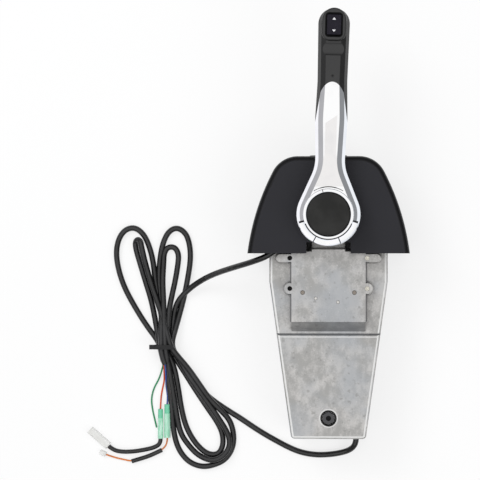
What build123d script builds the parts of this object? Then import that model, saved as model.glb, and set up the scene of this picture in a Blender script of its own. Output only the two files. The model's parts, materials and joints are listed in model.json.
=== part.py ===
from build123d import *
import os
from math import acos, cos, pi, radians, sin, tan

# Single-lever boat control for mounting on top of a console, lying on its back.
# X runs to the right, Y up the lever, Z out of the lever side, all in millimetres.
# The origin is where the lever's pivot axis meets the flat back of the cover.

# Fits
RUN = 0.05  # radial gap of a shaft or pin that turns in its bore
SLIDE = 0.02  # radial gap of a keyed or screwed fit inside one body
AIR = 0.3  # gap between faces of bodies that move past each other

# Cover
COVER_DEPTH = 84.0
COVER_SPLIT = 42.0
COVER_WALL = 2.5
COVER_BASE_HALF = 81.0
COVER_BASE_Y = -38.5
COVER_HEAD_ROOM = 10.5  # from the housing's round head to the top of the cover
COVER_TOP_IN = 1.1  # where side and top would meet, measured in from the head's side
COVER_SIDE_R = 242.0
COVER_CORNER_R = 28.0
COVER_EDGE_R = 6.0
COVER_HOLE_R = 16.0
COLLAR_R = 34.0
COLLAR_INNER_R = 27.0
COLLAR_RISE = 2.0
NOTCH_HALF = 22.0
NOTCH_TOP_Y = -27.5
COVER_POST_R = 4.5
COVER_POST_GAP = 2.7  # between the upper posts and the housing's head
UPPER_POST_ANGLE = radians(46.5)
LOWER_POST_IN = 0.5  # from midway between the head's side and the cover's base corner
LOWER_POST_Y = -22.0
COVER_SCREW_R = 1.8
COVER_SCREW_HEAD_R = 3.4
COVER_SCREW_HEAD_H = 2.4
COVER_SCREW_SEAT = 2.9  # height of the seat under the head
COVER_SCREW_L = 52.0
INSERT_HALF = 19.0
INSERT_DEPTH = 26.0
INSERT_RISE = 1.8

# Housing
HOUSING_BACK = 6.0
HOUSING_DROP = 19.0  # from the cover's front to the housing's
HOUSING_WALL = 3.0
HOUSING_HALF = 59.5
HOUSING_EDGE_R = 3.6
SHOULDER_Y = -28.0
TAPER_Y = -67.0
FOOT_Y = -225.0
FOOT_HALF = 37.4
FOOT_CORNER_R = 4.0
HEAD_R = 48.0
STEP_Y = -119.0
STEP_BEVEL = 2.0
LOWER_RISE = 3.0
PAD_RISE = 11.0
PAD_HALF = 38.6
PAD_TOP_Y = -35.2
PAD_TONGUE_HALF = 18.0
PAD_TONGUE_Y = -33.1
PAD_FOOT_Y = -107.0
PAD_SLOPE_Y = -117.0
PAD_BEVEL = 1.6
PAD_BEVEL_DEPTH = 6.0
EAR_R = 5.4
EAR_IN = 11.4  # from the housing's side to the middle of the ear's round end
LOWER_EAR_R = 7.0
BOLT_SPACING_X = 77.3
BOLT_SPACING_Y = 30.4
BOLT_MID_Y = -58.5
BOLT_R = 2.4
BOLT_DEPTH = 11.0
BEARING_BOSS_R = 26.0
COVER_SEAT_GAP = 0.2  # between the bearing boss and the cover's front wall

# Back plate and its screws
BACK_PLATE_T = 3.0
PLATE_POSTS_Y = [-43.0, -115.0, -213.0]
PLATE_POST_IN = 4.0  # from the housing's side
PLATE_POST_R = 3.8
PLATE_SCREW_R = 2.0
PLATE_SCREW_HEAD_R = 3.6
PLATE_SCREW_L = 18.0

# Main shaft and its bushes
SHAFT_R = 8.0
SHAFT_FLAT = 6.5  # distance of the flat from the axis
SHAFT_END_GAP = 0.3
BUSH_R = 11.0
BUSH_FLANGE_R = 13.5
BUSH_FLANGE_T = 1.5
REAR_BUSH_Z = 5.0
REAR_BUSH_TOP = 16.0
REAR_BOSS_R = 15.0
WASHER_R = 12.5
WASHER_T = 1.8
CIRCLIP_T = 1.5
CIRCLIP_R = 11.5
CIRCLIP_GAP_HALF = 2.5

# Gears: one pair works the shift cable, the other the throttle cable
MODULE = 2.0
PRESSURE = radians(20.0)
BACKLASH = 0.25  # taken off each tooth's thickness
SHIFT_DRIVE_TEETH = 26
SHIFT_SECTOR_TEETH = 50
THROTTLE_DRIVE_TEETH = 30
THROTTLE_SECTOR_TEETH = SHIFT_DRIVE_TEETH + SHIFT_SECTOR_TEETH - THROTTLE_DRIVE_TEETH
SHIFT_SECTOR_SIDE = 8  # teeth each side of the middle tooth
THROTTLE_SECTOR_SIDE = 9
GEAR_FACE_SHARE = 0.1535  # shares are of the room between thrust washer and circlip
GEAR_HUB_R = 13.0
THROTTLE_GEAR_LIFT = 0.4  # from the gear hub's back face to the toothed rim
SHIFT_LIFT_SHARE = 0.051
THROTTLE_HUB_SHARE = 0.266
SHIFT_HUB_SHARE = 0.307
ARM_PIVOT_Y = -MODULE * (SHIFT_DRIVE_TEETH + SHIFT_SECTOR_TEETH) / 2
PIVOT_PIN_R = 5.0
SECTOR_HUB_R = 11.0
ARM_LENGTH = 32.0
ARM_END_R = 6.5
CABLE_PIN_R = 3.0
CABLE_PIN_L = 11.0
CABLE_PIN_HEAD_R = 4.2
CABLE_PIN_HEAD_T = 1.6
PIVOT_BOSS_R = 9.0
PIVOT_REAR_BOSS_H = 8.0
PIVOT_PIN_DEPTH = 8.0  # how far the pin goes into each boss

# Detent and neutral switch
DETENT_R = 22.0
DETENT_SHARE = 0.102
DETENT_LIFT_SHARE = 0.077
DETENT_STEP = 32.0  # degrees from neutral to each gear notch
DETENT_NOTCH_R = 3.4
BALL_R = 3.0
DETENT_BOSS_R = 6.5
DETENT_BOSS_Y = 24.4
DETENT_SPRING_WIRE = 0.45
DETENT_SPRING_TURNS = 6
PLUG_R = 4.5
PLUG_Y = 36.0
PLUG_HEAD_RISE = 2.0
PLUG_WALL = 3.0
CAM_R = 17.0
CAM_LOBE_R = 20.0
CAM_LOBE_HALF = 3.5
CAM_SHARE = 0.128
SWITCH_WALL_GAP = 5.0
SWITCH_L = 20.0
SWITCH_H = 8.0
SWITCH_SCREW_R = 1.4
SWITCH_SCREW_Y = 6.5
PLUNGER_R = 1.8
PLUNGER_OUT = 7.0  # from the cam's lobe to the switch
PLUNGER_BORE_DEPTH = 7.0
PLUNGER_IN_BODY = 4.0

# Raised plate's inner bracket and rivets
BRACKET_T = 2.5
BRACKET_HALF = 31.0
BRACKET_TOP_Y = -70.0
BRACKET_FOOT_Y = -95.0
POCKET_HALF = 33.5
POCKET_TOP_Y = -38.0
POCKET_FOOT_Y = -103.0
POCKET_ROOF = 3.0
LARGE_RIVETS = [(25.8, -77.7), (-25.8, -77.7)]
SMALL_RIVETS = [(-12.7, -83.5), (9.5, -87.2)]
LARGE_RIVET_R = 2.25
SMALL_RIVET_R = 1.75
RIVET_STAND = 0.5

# Cable clamp at the foot of the housing
CLAMP_Y = -204.0
CLAMP_PAD_HALF = 20.0
CLAMP_PAD_L = 16.0
CLAMP_PAD_H = 8.0
CLAMP_GAP = 10.4  # room for the cable jackets
CLAMP_BAR_T = 5.0
CLAMP_BOLT_R = 3.0
CLAMP_HEAD_R = 6.5
CLAMP_HEAD_H = 6.2
CLAMP_SOCKET_R = 2.6
CLAMP_SOCKET_DEPTH = 3.5
CLAMP_BOLT_PROUD = 4.0
GROMMET_R = 8.2
GROMMET_INNER_R = 6.8
GROMMET_PROUD = 0.6
WINDOW_HALF = 17.0
WINDOW_BELOW = 1.6  # below the cables
WINDOW_H = 14.0

# Lever
LEVER_LEAN = -1.7  # degrees, a little to the right of upright
HUB_R = 31.4
HUB_GAP = 4.0  # between the cover's front and the back of the hub
HUB_DEPTH = 23.0
HUB_FLOOR_T = 9.0
ARM_LIFT = 9.0  # from the back of the hub to the back of the arm
HUB_TANGENT = radians(23.0)
ARM_WAIST_HALF = 14.2
ARM_SWELL_HALF = 15.95
ARM_SWELL_Y = 93.0
GRIP_WAIST_HALF = 14.6
GRIP_WAIST_Y = 130.0
GRIP_END_HALF = 15.5
LEVER_TIP_Y = 203.0
WAIST_R = 40.0
SIDE_R = 150.0
OUTER_BEVEL = 4.8
OUTER_BEVEL_DEPTH = 7.0
INNER_BEVEL = 2.95
INNER_BEVEL_RUN = 3.05
HUB_BACK_R = 1.5
WELL_R = 22.2
BEZEL_R = 25.2
BEZEL_INNER_R = 21.6
BEZEL_SEAT_DEPTH = 4.0
BEZEL_RISE = 1.2
BEZEL_EDGE_R = 0.9
SEAL_R = 24.0
SEAL_INNER_R = 18.0
BOLT_HEAD_AF = 15.0
BOLT_HEAD_H = 6.0
LEVER_BOLT_R = 4.0
LEVER_BOLT_L = 18.0
BOLT_WASHER_R = 13.0
BOLT_WASHER_T = 2.0

# Push button in the hub
BUTTON_R = 21.2
BUTTON_RISE = 2.2
BUTTON_TOP_T = 3.0
BUTTON_SKIRT_L = 4.0  # below the bezel's seat
BUTTON_WALL = 2.2
BUTTON_LIP_R = 21.9
BUTTON_EDGE_R = 1.4
BUTTON_SPRING_R = 11.0
BUTTON_SPRING_WIRE = 0.7
BUTTON_SPRING_TURNS = 4

# Grip
JOINT_Y = 130.0  # tip of the chrome on the front of the grip
JOINT_HALF = 16.0  # the chrome ends in half an ellipse
JOINT_RUN = 35.0
GRIP_BACK_T = 8.0
GRIP_BACK_FOOT_Y = 60.0
GRIP_BACK_R = 5.5
HEAD_PAD_HALF = 12.0
HEAD_PAD_FOOT_Y = 170.0
HEAD_PAD_FOOT_R = 8.0
HEAD_PAD_TIP_Y = 202.4
HEAD_PAD_RISE = 4.0
HEAD_PAD_EDGE_R = 1.8
NECK_Y = 162.0
NECK_R = 12.0
NECK_DEPTH = 1.7
DIMPLE_Y = 136.0
DIMPLE_R = 0.7
DIMPLE_DEPTH = 0.5
GRIP_SCREWS_Y = [72.0, 150.0]
GRIP_SCREW_R = 1.8
GRIP_SCREW_HEAD_R = 3.2
GRIP_SCREW_HEAD_H = 2.2
GRIP_SCREW_COVER = 6.0  # left in front of the screws' tips

# Rocker switch in the grip's head
SWITCH_Y = 185.5
RECESS_W = 17.4
RECESS_L = 24.4
RECESS_R = 3.6
RECESS_DEPTH = 7.0  # below the front of the lever
BEZEL_WALL = 1.4
BEZEL_FLOOR_T = 1.2
BEZEL_STAND = 0.3
ROCKER_SIDE_GAP = 0.4
ROCKER_END_GAP = 1.0
ROCKER_PIVOT_RISE = 0.5  # rises are above the front of the lever
ROCKER_END_RISE = 5.2
ROCKER_MID_RISE = 3.6
ROCKER_BACK_DROP = 2.2
ROCKER_EDGE_R = 1.2
ROCKER_PIN_R = 1.0

# Leads, hank and far ends
LEAD_R = 3.0
WIRE_R = 0.9
TAIL_R = 2.3
BEND = 0.45  # share of the shorter run that each bend may use
CLIP_W = 8.0
CLIP_GAP = 0.4  # between the clip and the raised plate
CLIP_X = -(PAD_HALF + CLIP_GAP + CLIP_W)  # face of the clip that the cover lead leaves
CLIP_Y = -34.6
CLIP_L = 5.0
CLIP_H = 10.0
COVER_LEAD_Z = COVER_DEPTH - HOUSING_DROP + CLIP_H / 2
GROMMET_X = 28.5
GROMMET_Z = 14.0
LEAD_GROMMET_R = 5.0
LEAD_GROMMET_FLANGE_R = 7.0
LEAD_GROMMET_FLANGE_T = 2.0
HANK_H = 12.0
HANK_NECK = (-169.2, -135.9)
HANK_NECK_R = 8.8
HANK_NECK_H = 17.8
HANK_LOBES = [((-204.4, -31.4), 19.7), ((-158.9, -33.5), 18.6), ((-125.8, -229.0), 28.5)]
TIE_W = 4.6
TIE_T = 1.0
TIE_HEAD = 6.0

COVER_LEAD = [
    (CLIP_X, CLIP_Y, COVER_LEAD_Z), (CLIP_X - 6.0, CLIP_Y, COVER_LEAD_Z),
    (CLIP_X - 13.5, -40.6, COVER_LEAD_Z),
    (CLIP_X - 21.5, -44.4, 0.966 * COVER_LEAD_Z), (CLIP_X - 34.0, -48.6, 0.864 * COVER_LEAD_Z),
    (-99.3, -54.0, 0.643 * COVER_LEAD_Z), (-116.7, -59.8, 0.4 * COVER_LEAD_Z),
    (-131.4, -66.8, 0.193 * COVER_LEAD_Z), (-143.6, -74.4, 5.2), (-152.4, -82.0, 3.2),
]
HOUSING_LEAD = [
    (GROMMET_X, FOOT_Y - LEAD_GROMMET_FLANGE_T, GROMMET_Z), (GROMMET_X, -233.0, GROMMET_Z),
    (25.2, -239.6, 10.4), (17.6, -244.2, 5.4), (3.5, -247.2, 3.4), (-12.5, -248.0, 3.2),
    (-28.4, -245.4, 3.2), (-41.2, -240.2, 3.2), (-54.0, -233.4, 3.2), (-66.0, -226.7, 3.2),
    (-78.0, -219.2, 3.2), (-90.6, -210.6, 3.2), (-103.5, -202.7, 3.2), (-115.5, -194.7, 3.2),
]
GREEN_WIRE = [
    (-172.6, -159.5, 2.6), (-176.3, -170.2, 1.6), (-181.8, -179.7, 1.0), (-184.4, -190.8, 1.0),
    (-183.0, -202.0, 1.0), (-180.6, -212.4, 1.0), (-178.7, -220.5, 1.0),
]
RED_WIRE = [(-169.2, -172.0, 2.6), (-172.6, -180.0, 1.4), (-174.2, -189.0, 1.4), (-174.6, -201.2, 2.9)]
BLUE_WIRE = [(-169.2, -176.6, 2.6), (-167.6, -184.6, 1.4), (-167.2, -190.4, 1.8), (-167.6, -196.2, 3.4)]
UPPER_TAIL = [
    (-174.5, -231.6, 2.9), (-174.5, -236.8, 2.9), (-180.6, -240.9, 2.6), (-189.4, -243.2, 2.4),
    (-202.0, -245.4, 2.4), (-214.6, -245.9, 2.6), (-223.9, -243.8, 3.5), (-228.6, -239.7, 3.5),
]
LOWER_TAIL = [(-173.0, -243.6, 2.4), (-183.0, -248.6, 2.4), (-192.4, -252.0, 2.4), (-204.6, -255.6, 2.4)]
ORANGE_WIRE = [(-167.4, -230.6, 3.4), (-167.4, -237.2, 3.4), (-173.0, -243.6, 2.4)]
TAIL_WIRE = [(-204.6, -255.6, 2.4), (-213.2, -253.8, 1.8), (-222.0, -252.0, 1.6), (-231.4, -248.7, 2.2)]

SLEEVES = [((-167.4, -196.0), 3.4, 34.6), ((-174.5, -201.0), 2.9, 30.6)]  # top end, radius, length
SLEEVE_CAP_L = 9.4
SLEEVE_CAP_STEP = 0.3
SLEEVE_BORE_R = 1.5
SLEEVE_BORE_DEPTH = 6.0
BLOCK_MID = (-238.4, -231.2)
BLOCK_ANGLE = -41.0
BLOCK_L = 26.0
BLOCK_W = 7.6
BLOCK_H = 7.0
PIN_MID = (-234.8, -247.2)
PIN_ANGLE = -23.0
PIN_L = 7.0
PIN_W = 5.0
PIN_H = 4.4
CONNECTOR_EDGE = 0.8

# Sizes and heights that follow from those above
COVER_TOP_Y = HEAD_R + COVER_HEAD_ROOM
COVER_TOP_HALF = HEAD_R - COVER_TOP_IN
UPPER_POST_REACH = HEAD_R + COVER_POST_GAP + COVER_POST_R
LOWER_POST_X = (HEAD_R + COVER_BASE_HALF) / 2 - LOWER_POST_IN
UPPER_POST_X = UPPER_POST_REACH * cos(UPPER_POST_ANGLE)
UPPER_POST_Y = UPPER_POST_REACH * sin(UPPER_POST_ANGLE)
COVER_POSTS = [
    (side * x, y) for x, y in ((LOWER_POST_X, LOWER_POST_Y), (UPPER_POST_X, UPPER_POST_Y)) for side in (1, -1)
]
EAR_REACH = HOUSING_HALF - EAR_IN
HOUSING_FRONT = COVER_DEPTH - HOUSING_DROP
LOWER_FRONT = HOUSING_FRONT + LOWER_RISE
PAD_FRONT = HOUSING_FRONT + PAD_RISE
CAVITY_FRONT = HOUSING_FRONT - HOUSING_WALL
POCKET_TOP_Z = PAD_FRONT - POCKET_ROOF
BACK_PLATE_Z = HOUSING_BACK - BACK_PLATE_T
COVER_FRONT_INNER = COVER_DEPTH - COVER_WALL
BEARING_TOP = COVER_FRONT_INNER - COVER_SEAT_GAP
SHAFT_BACK = REAR_BUSH_Z + SHAFT_END_GAP
WASHER_Z = REAR_BUSH_TOP + BUSH_FLANGE_T + AIR
THROTTLE_HUB_Z = WASHER_Z + WASHER_T
FRONT_FLANGE_Z = CAVITY_FRONT - BUSH_FLANGE_T
CIRCLIP_Z = FRONT_FLANGE_Z - AIR - CIRCLIP_T
SHAFT_ROOM = CIRCLIP_Z - THROTTLE_HUB_Z
GEAR_FACE = GEAR_FACE_SHARE * SHAFT_ROOM
THROTTLE_HUB_L = THROTTLE_HUB_SHARE * SHAFT_ROOM
SHIFT_HUB_L = SHIFT_HUB_SHARE * SHAFT_ROOM
DETENT_T = DETENT_SHARE * SHAFT_ROOM
CAM_T = CAM_SHARE * SHAFT_ROOM
SHIFT_HUB_Z = THROTTLE_HUB_Z + THROTTLE_HUB_L
DETENT_HUB_Z = SHIFT_HUB_Z + SHIFT_HUB_L
THROTTLE_RIM_Z = THROTTLE_HUB_Z + THROTTLE_GEAR_LIFT
SHIFT_RIM_Z = SHIFT_HUB_Z + SHIFT_LIFT_SHARE * SHAFT_ROOM
DETENT_Z = DETENT_HUB_Z + DETENT_LIFT_SHARE * SHAFT_ROOM
DETENT_MID_Z = DETENT_Z + DETENT_T / 2
CAM_Z = DETENT_Z + DETENT_T
PLUNGER_Z = CAM_Z + CAM_T / 2
SWITCH_Z = PLUNGER_Z - SWITCH_H / 2
SWITCH_W = HEAD_R - HOUSING_WALL - SWITCH_WALL_GAP - PLUNGER_OUT - CAM_LOBE_R
SWITCH_FRONT_X = -(CAM_LOBE_R + PLUNGER_OUT)
SWITCH_X = SWITCH_FRONT_X - SWITCH_W / 2
PIVOT_REAR_Z = HOUSING_BACK + PIVOT_REAR_BOSS_H
SECTOR_MID_Z = SHIFT_HUB_Z  # the two sector hubs meet here, a running gap apart
SHIFT_SECTOR_FRONT = SHIFT_RIM_Z + 2 * GEAR_FACE
PIVOT_FRONT_BOSS_Z = SHIFT_SECTOR_FRONT + AIR
CLAMP_PAD_Z = CAVITY_FRONT - CLAMP_PAD_H
CLAMP_BAR_Z = CLAMP_PAD_Z - CLAMP_GAP - CLAMP_BAR_T
CLAMP_SEAT_Z = LOWER_FRONT - CLAMP_HEAD_H
WINDOW_Z = CLAMP_PAD_Z - CLAMP_GAP - WINDOW_BELOW
HUB_BACK = COVER_DEPTH + HUB_GAP
LEVER_FRONT = HUB_BACK + HUB_DEPTH
WELL_FLOOR = HUB_BACK + HUB_FLOOR_T
ARM_BACK = HUB_BACK + ARM_LIFT
BEZEL_SEAT = LEVER_FRONT - BEZEL_SEAT_DEPTH
BEZEL_FRONT = LEVER_FRONT + BEZEL_RISE
BUTTON_FRONT = LEVER_FRONT + BUTTON_RISE
BUTTON_SKIRT_BACK = BEZEL_SEAT - BUTTON_SKIRT_L
GRIP_BACK = ARM_BACK - GRIP_BACK_T
GRIP_SCREW_TIP = LEVER_FRONT - GRIP_SCREW_COVER
RECESS_FLOOR = LEVER_FRONT - RECESS_DEPTH
ROCKER_PIVOT_Z = LEVER_FRONT + ROCKER_PIVOT_RISE
ROCKER_END_Z = LEVER_FRONT + ROCKER_END_RISE
ROCKER_MID_Z = LEVER_FRONT + ROCKER_MID_RISE
ROCKER_BACK_Z = LEVER_FRONT - ROCKER_BACK_DROP
BUTTON_INNER = BUTTON_FRONT - BUTTON_TOP_T
HEAD_PAD_FRONT = LEVER_FRONT + HEAD_PAD_RISE
BALL_Y = DETENT_R + AIR + BALL_R
BOLT_HOLES = [
    (side * BOLT_SPACING_X / 2, BOLT_MID_Y + row * BOLT_SPACING_Y / 2) for side in (1, -1) for row in (1, -1)
]
ARM_PIVOT = (0.0, ARM_PIVOT_Y)

LEAN = radians(LEVER_LEAN)
LEVER_X = (cos(LEAN), sin(LEAN), 0)
LEVER_Y = (-sin(LEAN), cos(LEAN), 0)


# Helpers


def save(part, node):
    """Name a finished piece and write it."""
    part.label = node
    export_step(part, f"parts/{node}.step")


def level(height):
    """Plane parallel to the back of the cover at a height."""
    return Plane.XY.offset(height)


def across(y):
    """Plane across the lever's length at a height on Y, facing down the housing."""
    return Plane.XZ.offset(-y)


def lever_level(height):
    """Plane at a height whose Y axis runs up the leaning lever."""
    return Plane(origin=(0, 0, height), x_dir=LEVER_X, z_dir=(0, 0, 1))


def lever_side():
    """Plane through the pivot with its x up the lever and its y out of the lever side."""
    return Plane(origin=(0, 0, 0), x_dir=LEVER_Y, z_dir=LEVER_X)


def rounds(plane, points, radius, length, mode=Mode.ADD):
    """Round posts or holes of one radius standing on a plane, in the open part."""
    with BuildSketch(plane, mode=Mode.PRIVATE) as spots:
        with Locations(*points):
            Circle(radius)
    extrude(spots.sketch, amount=length, mode=mode)


def block(x, y, z, mode=Mode.ADD):
    """Box between the given ends along each axis, in the open part."""
    with BuildSketch(level(z[0]), mode=Mode.PRIVATE) as base:
        with Locations(((x[0] + x[1]) / 2, (y[0] + y[1]) / 2)):
            Rectangle(x[1] - x[0], y[1] - y[0])
    extrude(base.sketch, amount=z[1] - z[0], mode=mode)


def half_width(y):
    """Half width of the tapered part of the housing at a height on Y."""
    return HOUSING_HALF - (HOUSING_HALF - FOOT_HALF) * (TAPER_Y - y) / (TAPER_Y - FOOT_Y)


def cover_outline(plane, inset, base_y):
    """Outline of the cover, drawn in by an inset, with its straight base at base_y."""
    base = (COVER_BASE_HALF - inset, base_y)
    top = (COVER_TOP_HALF - inset, COVER_TOP_Y - inset)
    with BuildSketch(plane, mode=Mode.PRIVATE) as sketch:
        with BuildLine():
            side = RadiusArc(base, top, -COVER_SIDE_R)
            mirror(side, about=Plane.YZ)
            Line(top, (-top[0], top[1]))
            Line(base, (-base[0], base[1]))
        make_face()
        fillet(sketch.vertices().group_by(Axis.Y)[-1], COVER_CORNER_R - inset)
    return sketch.sketch


def housing_outline(plane, inset):
    """Outline of the housing, tapered foot and round head together, drawn in by an inset."""
    half = HOUSING_HALF - inset
    foot = FOOT_HALF - inset
    with BuildSketch(plane, mode=Mode.PRIVATE) as sketch:
        with BuildLine():
            Polyline(
                (half, SHOULDER_Y - inset), (half, TAPER_Y), (foot, FOOT_Y + inset),
                (-foot, FOOT_Y + inset), (-half, TAPER_Y), (-half, SHOULDER_Y - inset), close=True,
            )
        make_face()
        fillet(sketch.vertices().group_by(Axis.Y)[0], FOOT_CORNER_R)
        Circle(HEAD_R - inset)
        with Locations((0, 0)):
            Rectangle(2 * (HEAD_R - inset), -TAPER_Y, align=(Align.CENTER, Align.MAX))
    return sketch.sketch


def shaft_bore(plane, length):
    """Cut a bore with a flat that fits the main shaft, in the open part."""
    with BuildSketch(plane, mode=Mode.PRIVATE) as bore:
        Circle(SHAFT_R + SLIDE)
        with Locations((SHAFT_FLAT + SLIDE, 0)):
            Rectangle(4 * SHAFT_R, 4 * SHAFT_R, align=(Align.MAX, Align.CENTER), mode=Mode.INTERSECT)
    extrude(bore.sketch, amount=length, mode=Mode.SUBTRACT)


def tooth_points(teeth, middle):
    """Outline of one involute tooth as points from one root to the other, middle at an angle."""
    pitch = MODULE * teeth / 2
    base = pitch * cos(PRESSURE)
    root, tip = pitch - 1.25 * MODULE, pitch + MODULE
    half = (pi * MODULE / 2 - BACKLASH) / (2 * pitch) + tan(PRESSURE) - PRESSURE
    start = max(base, root)
    flank = [start + (tip - start) * step / 3 for step in range(4)]
    if root < base:
        flank.insert(0, root)
    shape = []
    for radius in flank:
        slant = acos(min(1.0, base / radius))
        shape.append((radius, half - (tan(slant) - slant)))
    right = [(r * cos(middle - a), r * sin(middle - a)) for r, a in shape]
    left = [(r * cos(middle + a), r * sin(middle + a)) for r, a in reversed(shape)]
    return right + left


def toothed(plane, teeth, middles, centre):
    """Flat toothed shape with teeth at the given angles, closed through the centre if it is a sector."""
    points = [point for middle in middles for point in tooth_points(teeth, middle)]
    with BuildSketch(plane, mode=Mode.PRIVATE) as sketch:
        with BuildLine():
            Polyline(*points, *centre, close=True)
        make_face()
    return sketch.sketch


def full_gear(plane, teeth):
    """Whole gear with a gap between two teeth straight below its centre."""
    step = 2 * pi / teeth
    return toothed(plane, teeth, [-pi / 2 + step * (i + 0.5) for i in range(teeth)], [])


def sector_gear(plane, teeth, side):
    """Toothed sector with its middle tooth straight above its centre."""
    step = 2 * pi / teeth
    return toothed(plane, teeth, [pi / 2 + step * i for i in range(-side, side + 1)], [(0, 0)])


def lever_outline(plane):
    """Outline of the hub, arm and grip in one."""
    tangent = (HUB_R * cos(HUB_TANGENT), HUB_R * sin(HUB_TANGENT))
    waist_y = tangent[1] + (tangent[0] - ARM_WAIST_HALF) / tan(HUB_TANGENT)
    end = (GRIP_END_HALF, LEVER_TIP_Y - GRIP_END_HALF)
    with BuildSketch(plane, mode=Mode.PRIVATE) as sketch:
        with BuildLine():
            side = FilletPolyline(
                tangent, (ARM_WAIST_HALF, waist_y), (ARM_SWELL_HALF, ARM_SWELL_Y),
                (GRIP_WAIST_HALF, GRIP_WAIST_Y),
                end, radius=[WAIST_R, SIDE_R, SIDE_R],
            )
            mirror(side, about=Plane.YZ)
            ThreePointArc(end, (0, LEVER_TIP_Y), (-end[0], end[1]))
            ThreePointArc(tangent, (0, -HUB_R), (-tangent[0], tangent[1]))
        make_face()
    return sketch.sketch


def lever_blank():
    """Arm and grip as one bar with two bevels round its front and a rounded back edge."""
    with BuildPart(mode=Mode.PRIVATE) as blank:
        extrude(lever_outline(lever_level(ARM_BACK)), amount=LEVER_FRONT - ARM_BACK)
        front = blank.faces().sort_by(Axis.Z)[-1]
        chamfer(front.edges(), OUTER_BEVEL, OUTER_BEVEL_DEPTH, reference=front)
        front = blank.faces().sort_by(Axis.Z)[-1]
        chamfer(front.edges(), INNER_BEVEL, INNER_BEVEL_RUN, reference=front)
    return blank.part


def chrome_shape(plane):
    """Plan of the chrome part of the lever: all that lies below its arched end."""
    with BuildSketch(plane, mode=Mode.PRIVATE) as shape:
        with Locations((0, JOINT_Y - JOINT_RUN)):
            Ellipse(JOINT_HALF, JOINT_RUN)
            Rectangle(4 * HUB_R, 2 * LEVER_TIP_Y, align=(Align.CENTER, Align.MAX))
    return shape.sketch


def bend_radii(name, points):
    """Largest bends that the runs of a route allow, printed for a check."""
    route = [Vector(*point) for point in points]
    radii = []
    for before, corner, after in zip(route, route[1:], route[2:]):
        turn = radians((corner - before).get_angle(after - corner))
        run = min((corner - before).length, (after - corner).length)
        radii.append(BEND * run / tan(turn / 2))
    print(name, "bends", [round(radius, 1) for radius in radii])
    return radii


def tube(name, points, radius):
    """Round lead along a route of straight runs and bends, in the open part."""
    with BuildLine(mode=Mode.PRIVATE) as route:
        FilletPolyline(*points, radius=bend_radii(name, points))
    path = route.wires()[0]
    with BuildSketch(Plane(origin=path @ 0, z_dir=path % 0), mode=Mode.PRIVATE) as section:
        Circle(radius)
    sweep(section.sketch, path=path)
    print(name, "length", round(path.length, 1))


def coil(centre, direction, radius, wire, turns, height):
    """Open coil spring of round wire, in the open part."""
    with BuildLine(mode=Mode.PRIVATE) as route:
        Helix(pitch=height / turns, height=height, radius=radius, center=centre, direction=direction)
    path = route.edges()[0]
    with BuildSketch(Plane(origin=path @ 0, z_dir=path % 0), mode=Mode.PRIVATE) as section:
        Circle(wire)
    sweep(section.sketch, path=path, is_frenet=True)


os.makedirs("parts", exist_ok=True)

PLATE_POINTS = [
    (side * (min(HOUSING_HALF, half_width(y)) - PLATE_POST_IN), y) for side in (1, -1) for y in PLATE_POSTS_Y
]

# Cover: front shell with the notch and collar round the hub, rear shell, insert on top and screws

with BuildPart() as cover_front:
    extrude(cover_outline(level(COVER_SPLIT), 0, COVER_BASE_Y), amount=COVER_DEPTH - COVER_SPLIT)
    fillet(cover_front.faces().sort_by(Axis.Z)[-1].edges().sort_by(Axis.Y)[1:], COVER_EDGE_R)
    extrude(
        cover_outline(level(COVER_SPLIT), COVER_WALL, COVER_BASE_Y - COVER_WALL),
        amount=COVER_FRONT_INNER - COVER_SPLIT, mode=Mode.SUBTRACT,
    )
    rounds(level(COVER_DEPTH), [(0, 0)], COLLAR_R, COLLAR_RISE)
    rounds(level(COVER_DEPTH), [(0, 0)], COLLAR_INNER_R, COLLAR_RISE, Mode.SUBTRACT)
    rounds(level(COVER_FRONT_INNER), [(0, 0)], COVER_HOLE_R, COVER_WALL, Mode.SUBTRACT)
    block(
        (-NOTCH_HALF, NOTCH_HALF), (COVER_BASE_Y - COVER_WALL, NOTCH_TOP_Y),
        (COVER_FRONT_INNER, COVER_DEPTH + COLLAR_RISE), Mode.SUBTRACT,
    )
    rounds(level(COVER_SPLIT), COVER_POSTS, COVER_POST_R, COVER_FRONT_INNER - COVER_SPLIT)
    screw_hole = COVER_SCREW_SEAT + COVER_SCREW_L + AIR - COVER_SPLIT
    rounds(level(COVER_SPLIT), COVER_POSTS, COVER_SCREW_R + SLIDE, screw_hole, Mode.SUBTRACT)
save(cover_front.part, "cover_front")

with BuildPart() as cover_rear:
    extrude(cover_outline(level(0), 0, COVER_BASE_Y), amount=COVER_SPLIT)
    fillet(cover_rear.faces().sort_by(Axis.Z)[0].edges().sort_by(Axis.Y)[1:], COVER_EDGE_R)
    extrude(
        cover_outline(level(COVER_WALL), COVER_WALL, COVER_BASE_Y - COVER_WALL),
        amount=COVER_SPLIT - COVER_WALL, mode=Mode.SUBTRACT,
    )
    rounds(level(COVER_WALL), COVER_POSTS, COVER_POST_R, COVER_SPLIT - COVER_WALL)
    rounds(level(0), COVER_POSTS, COVER_SCREW_R + SLIDE, COVER_SPLIT, Mode.SUBTRACT)
    rounds(level(0), COVER_POSTS, COVER_SCREW_HEAD_R + AIR, COVER_SCREW_SEAT, Mode.SUBTRACT)
save(cover_rear.part, "cover_rear")

with BuildPart() as cover_screws:
    rounds(level(COVER_SCREW_SEAT - COVER_SCREW_HEAD_H), COVER_POSTS, COVER_SCREW_HEAD_R, COVER_SCREW_HEAD_H)
    rounds(level(COVER_SCREW_SEAT), COVER_POSTS, COVER_SCREW_R, COVER_SCREW_L)
save(cover_screws.part, "cover_screws")

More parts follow.
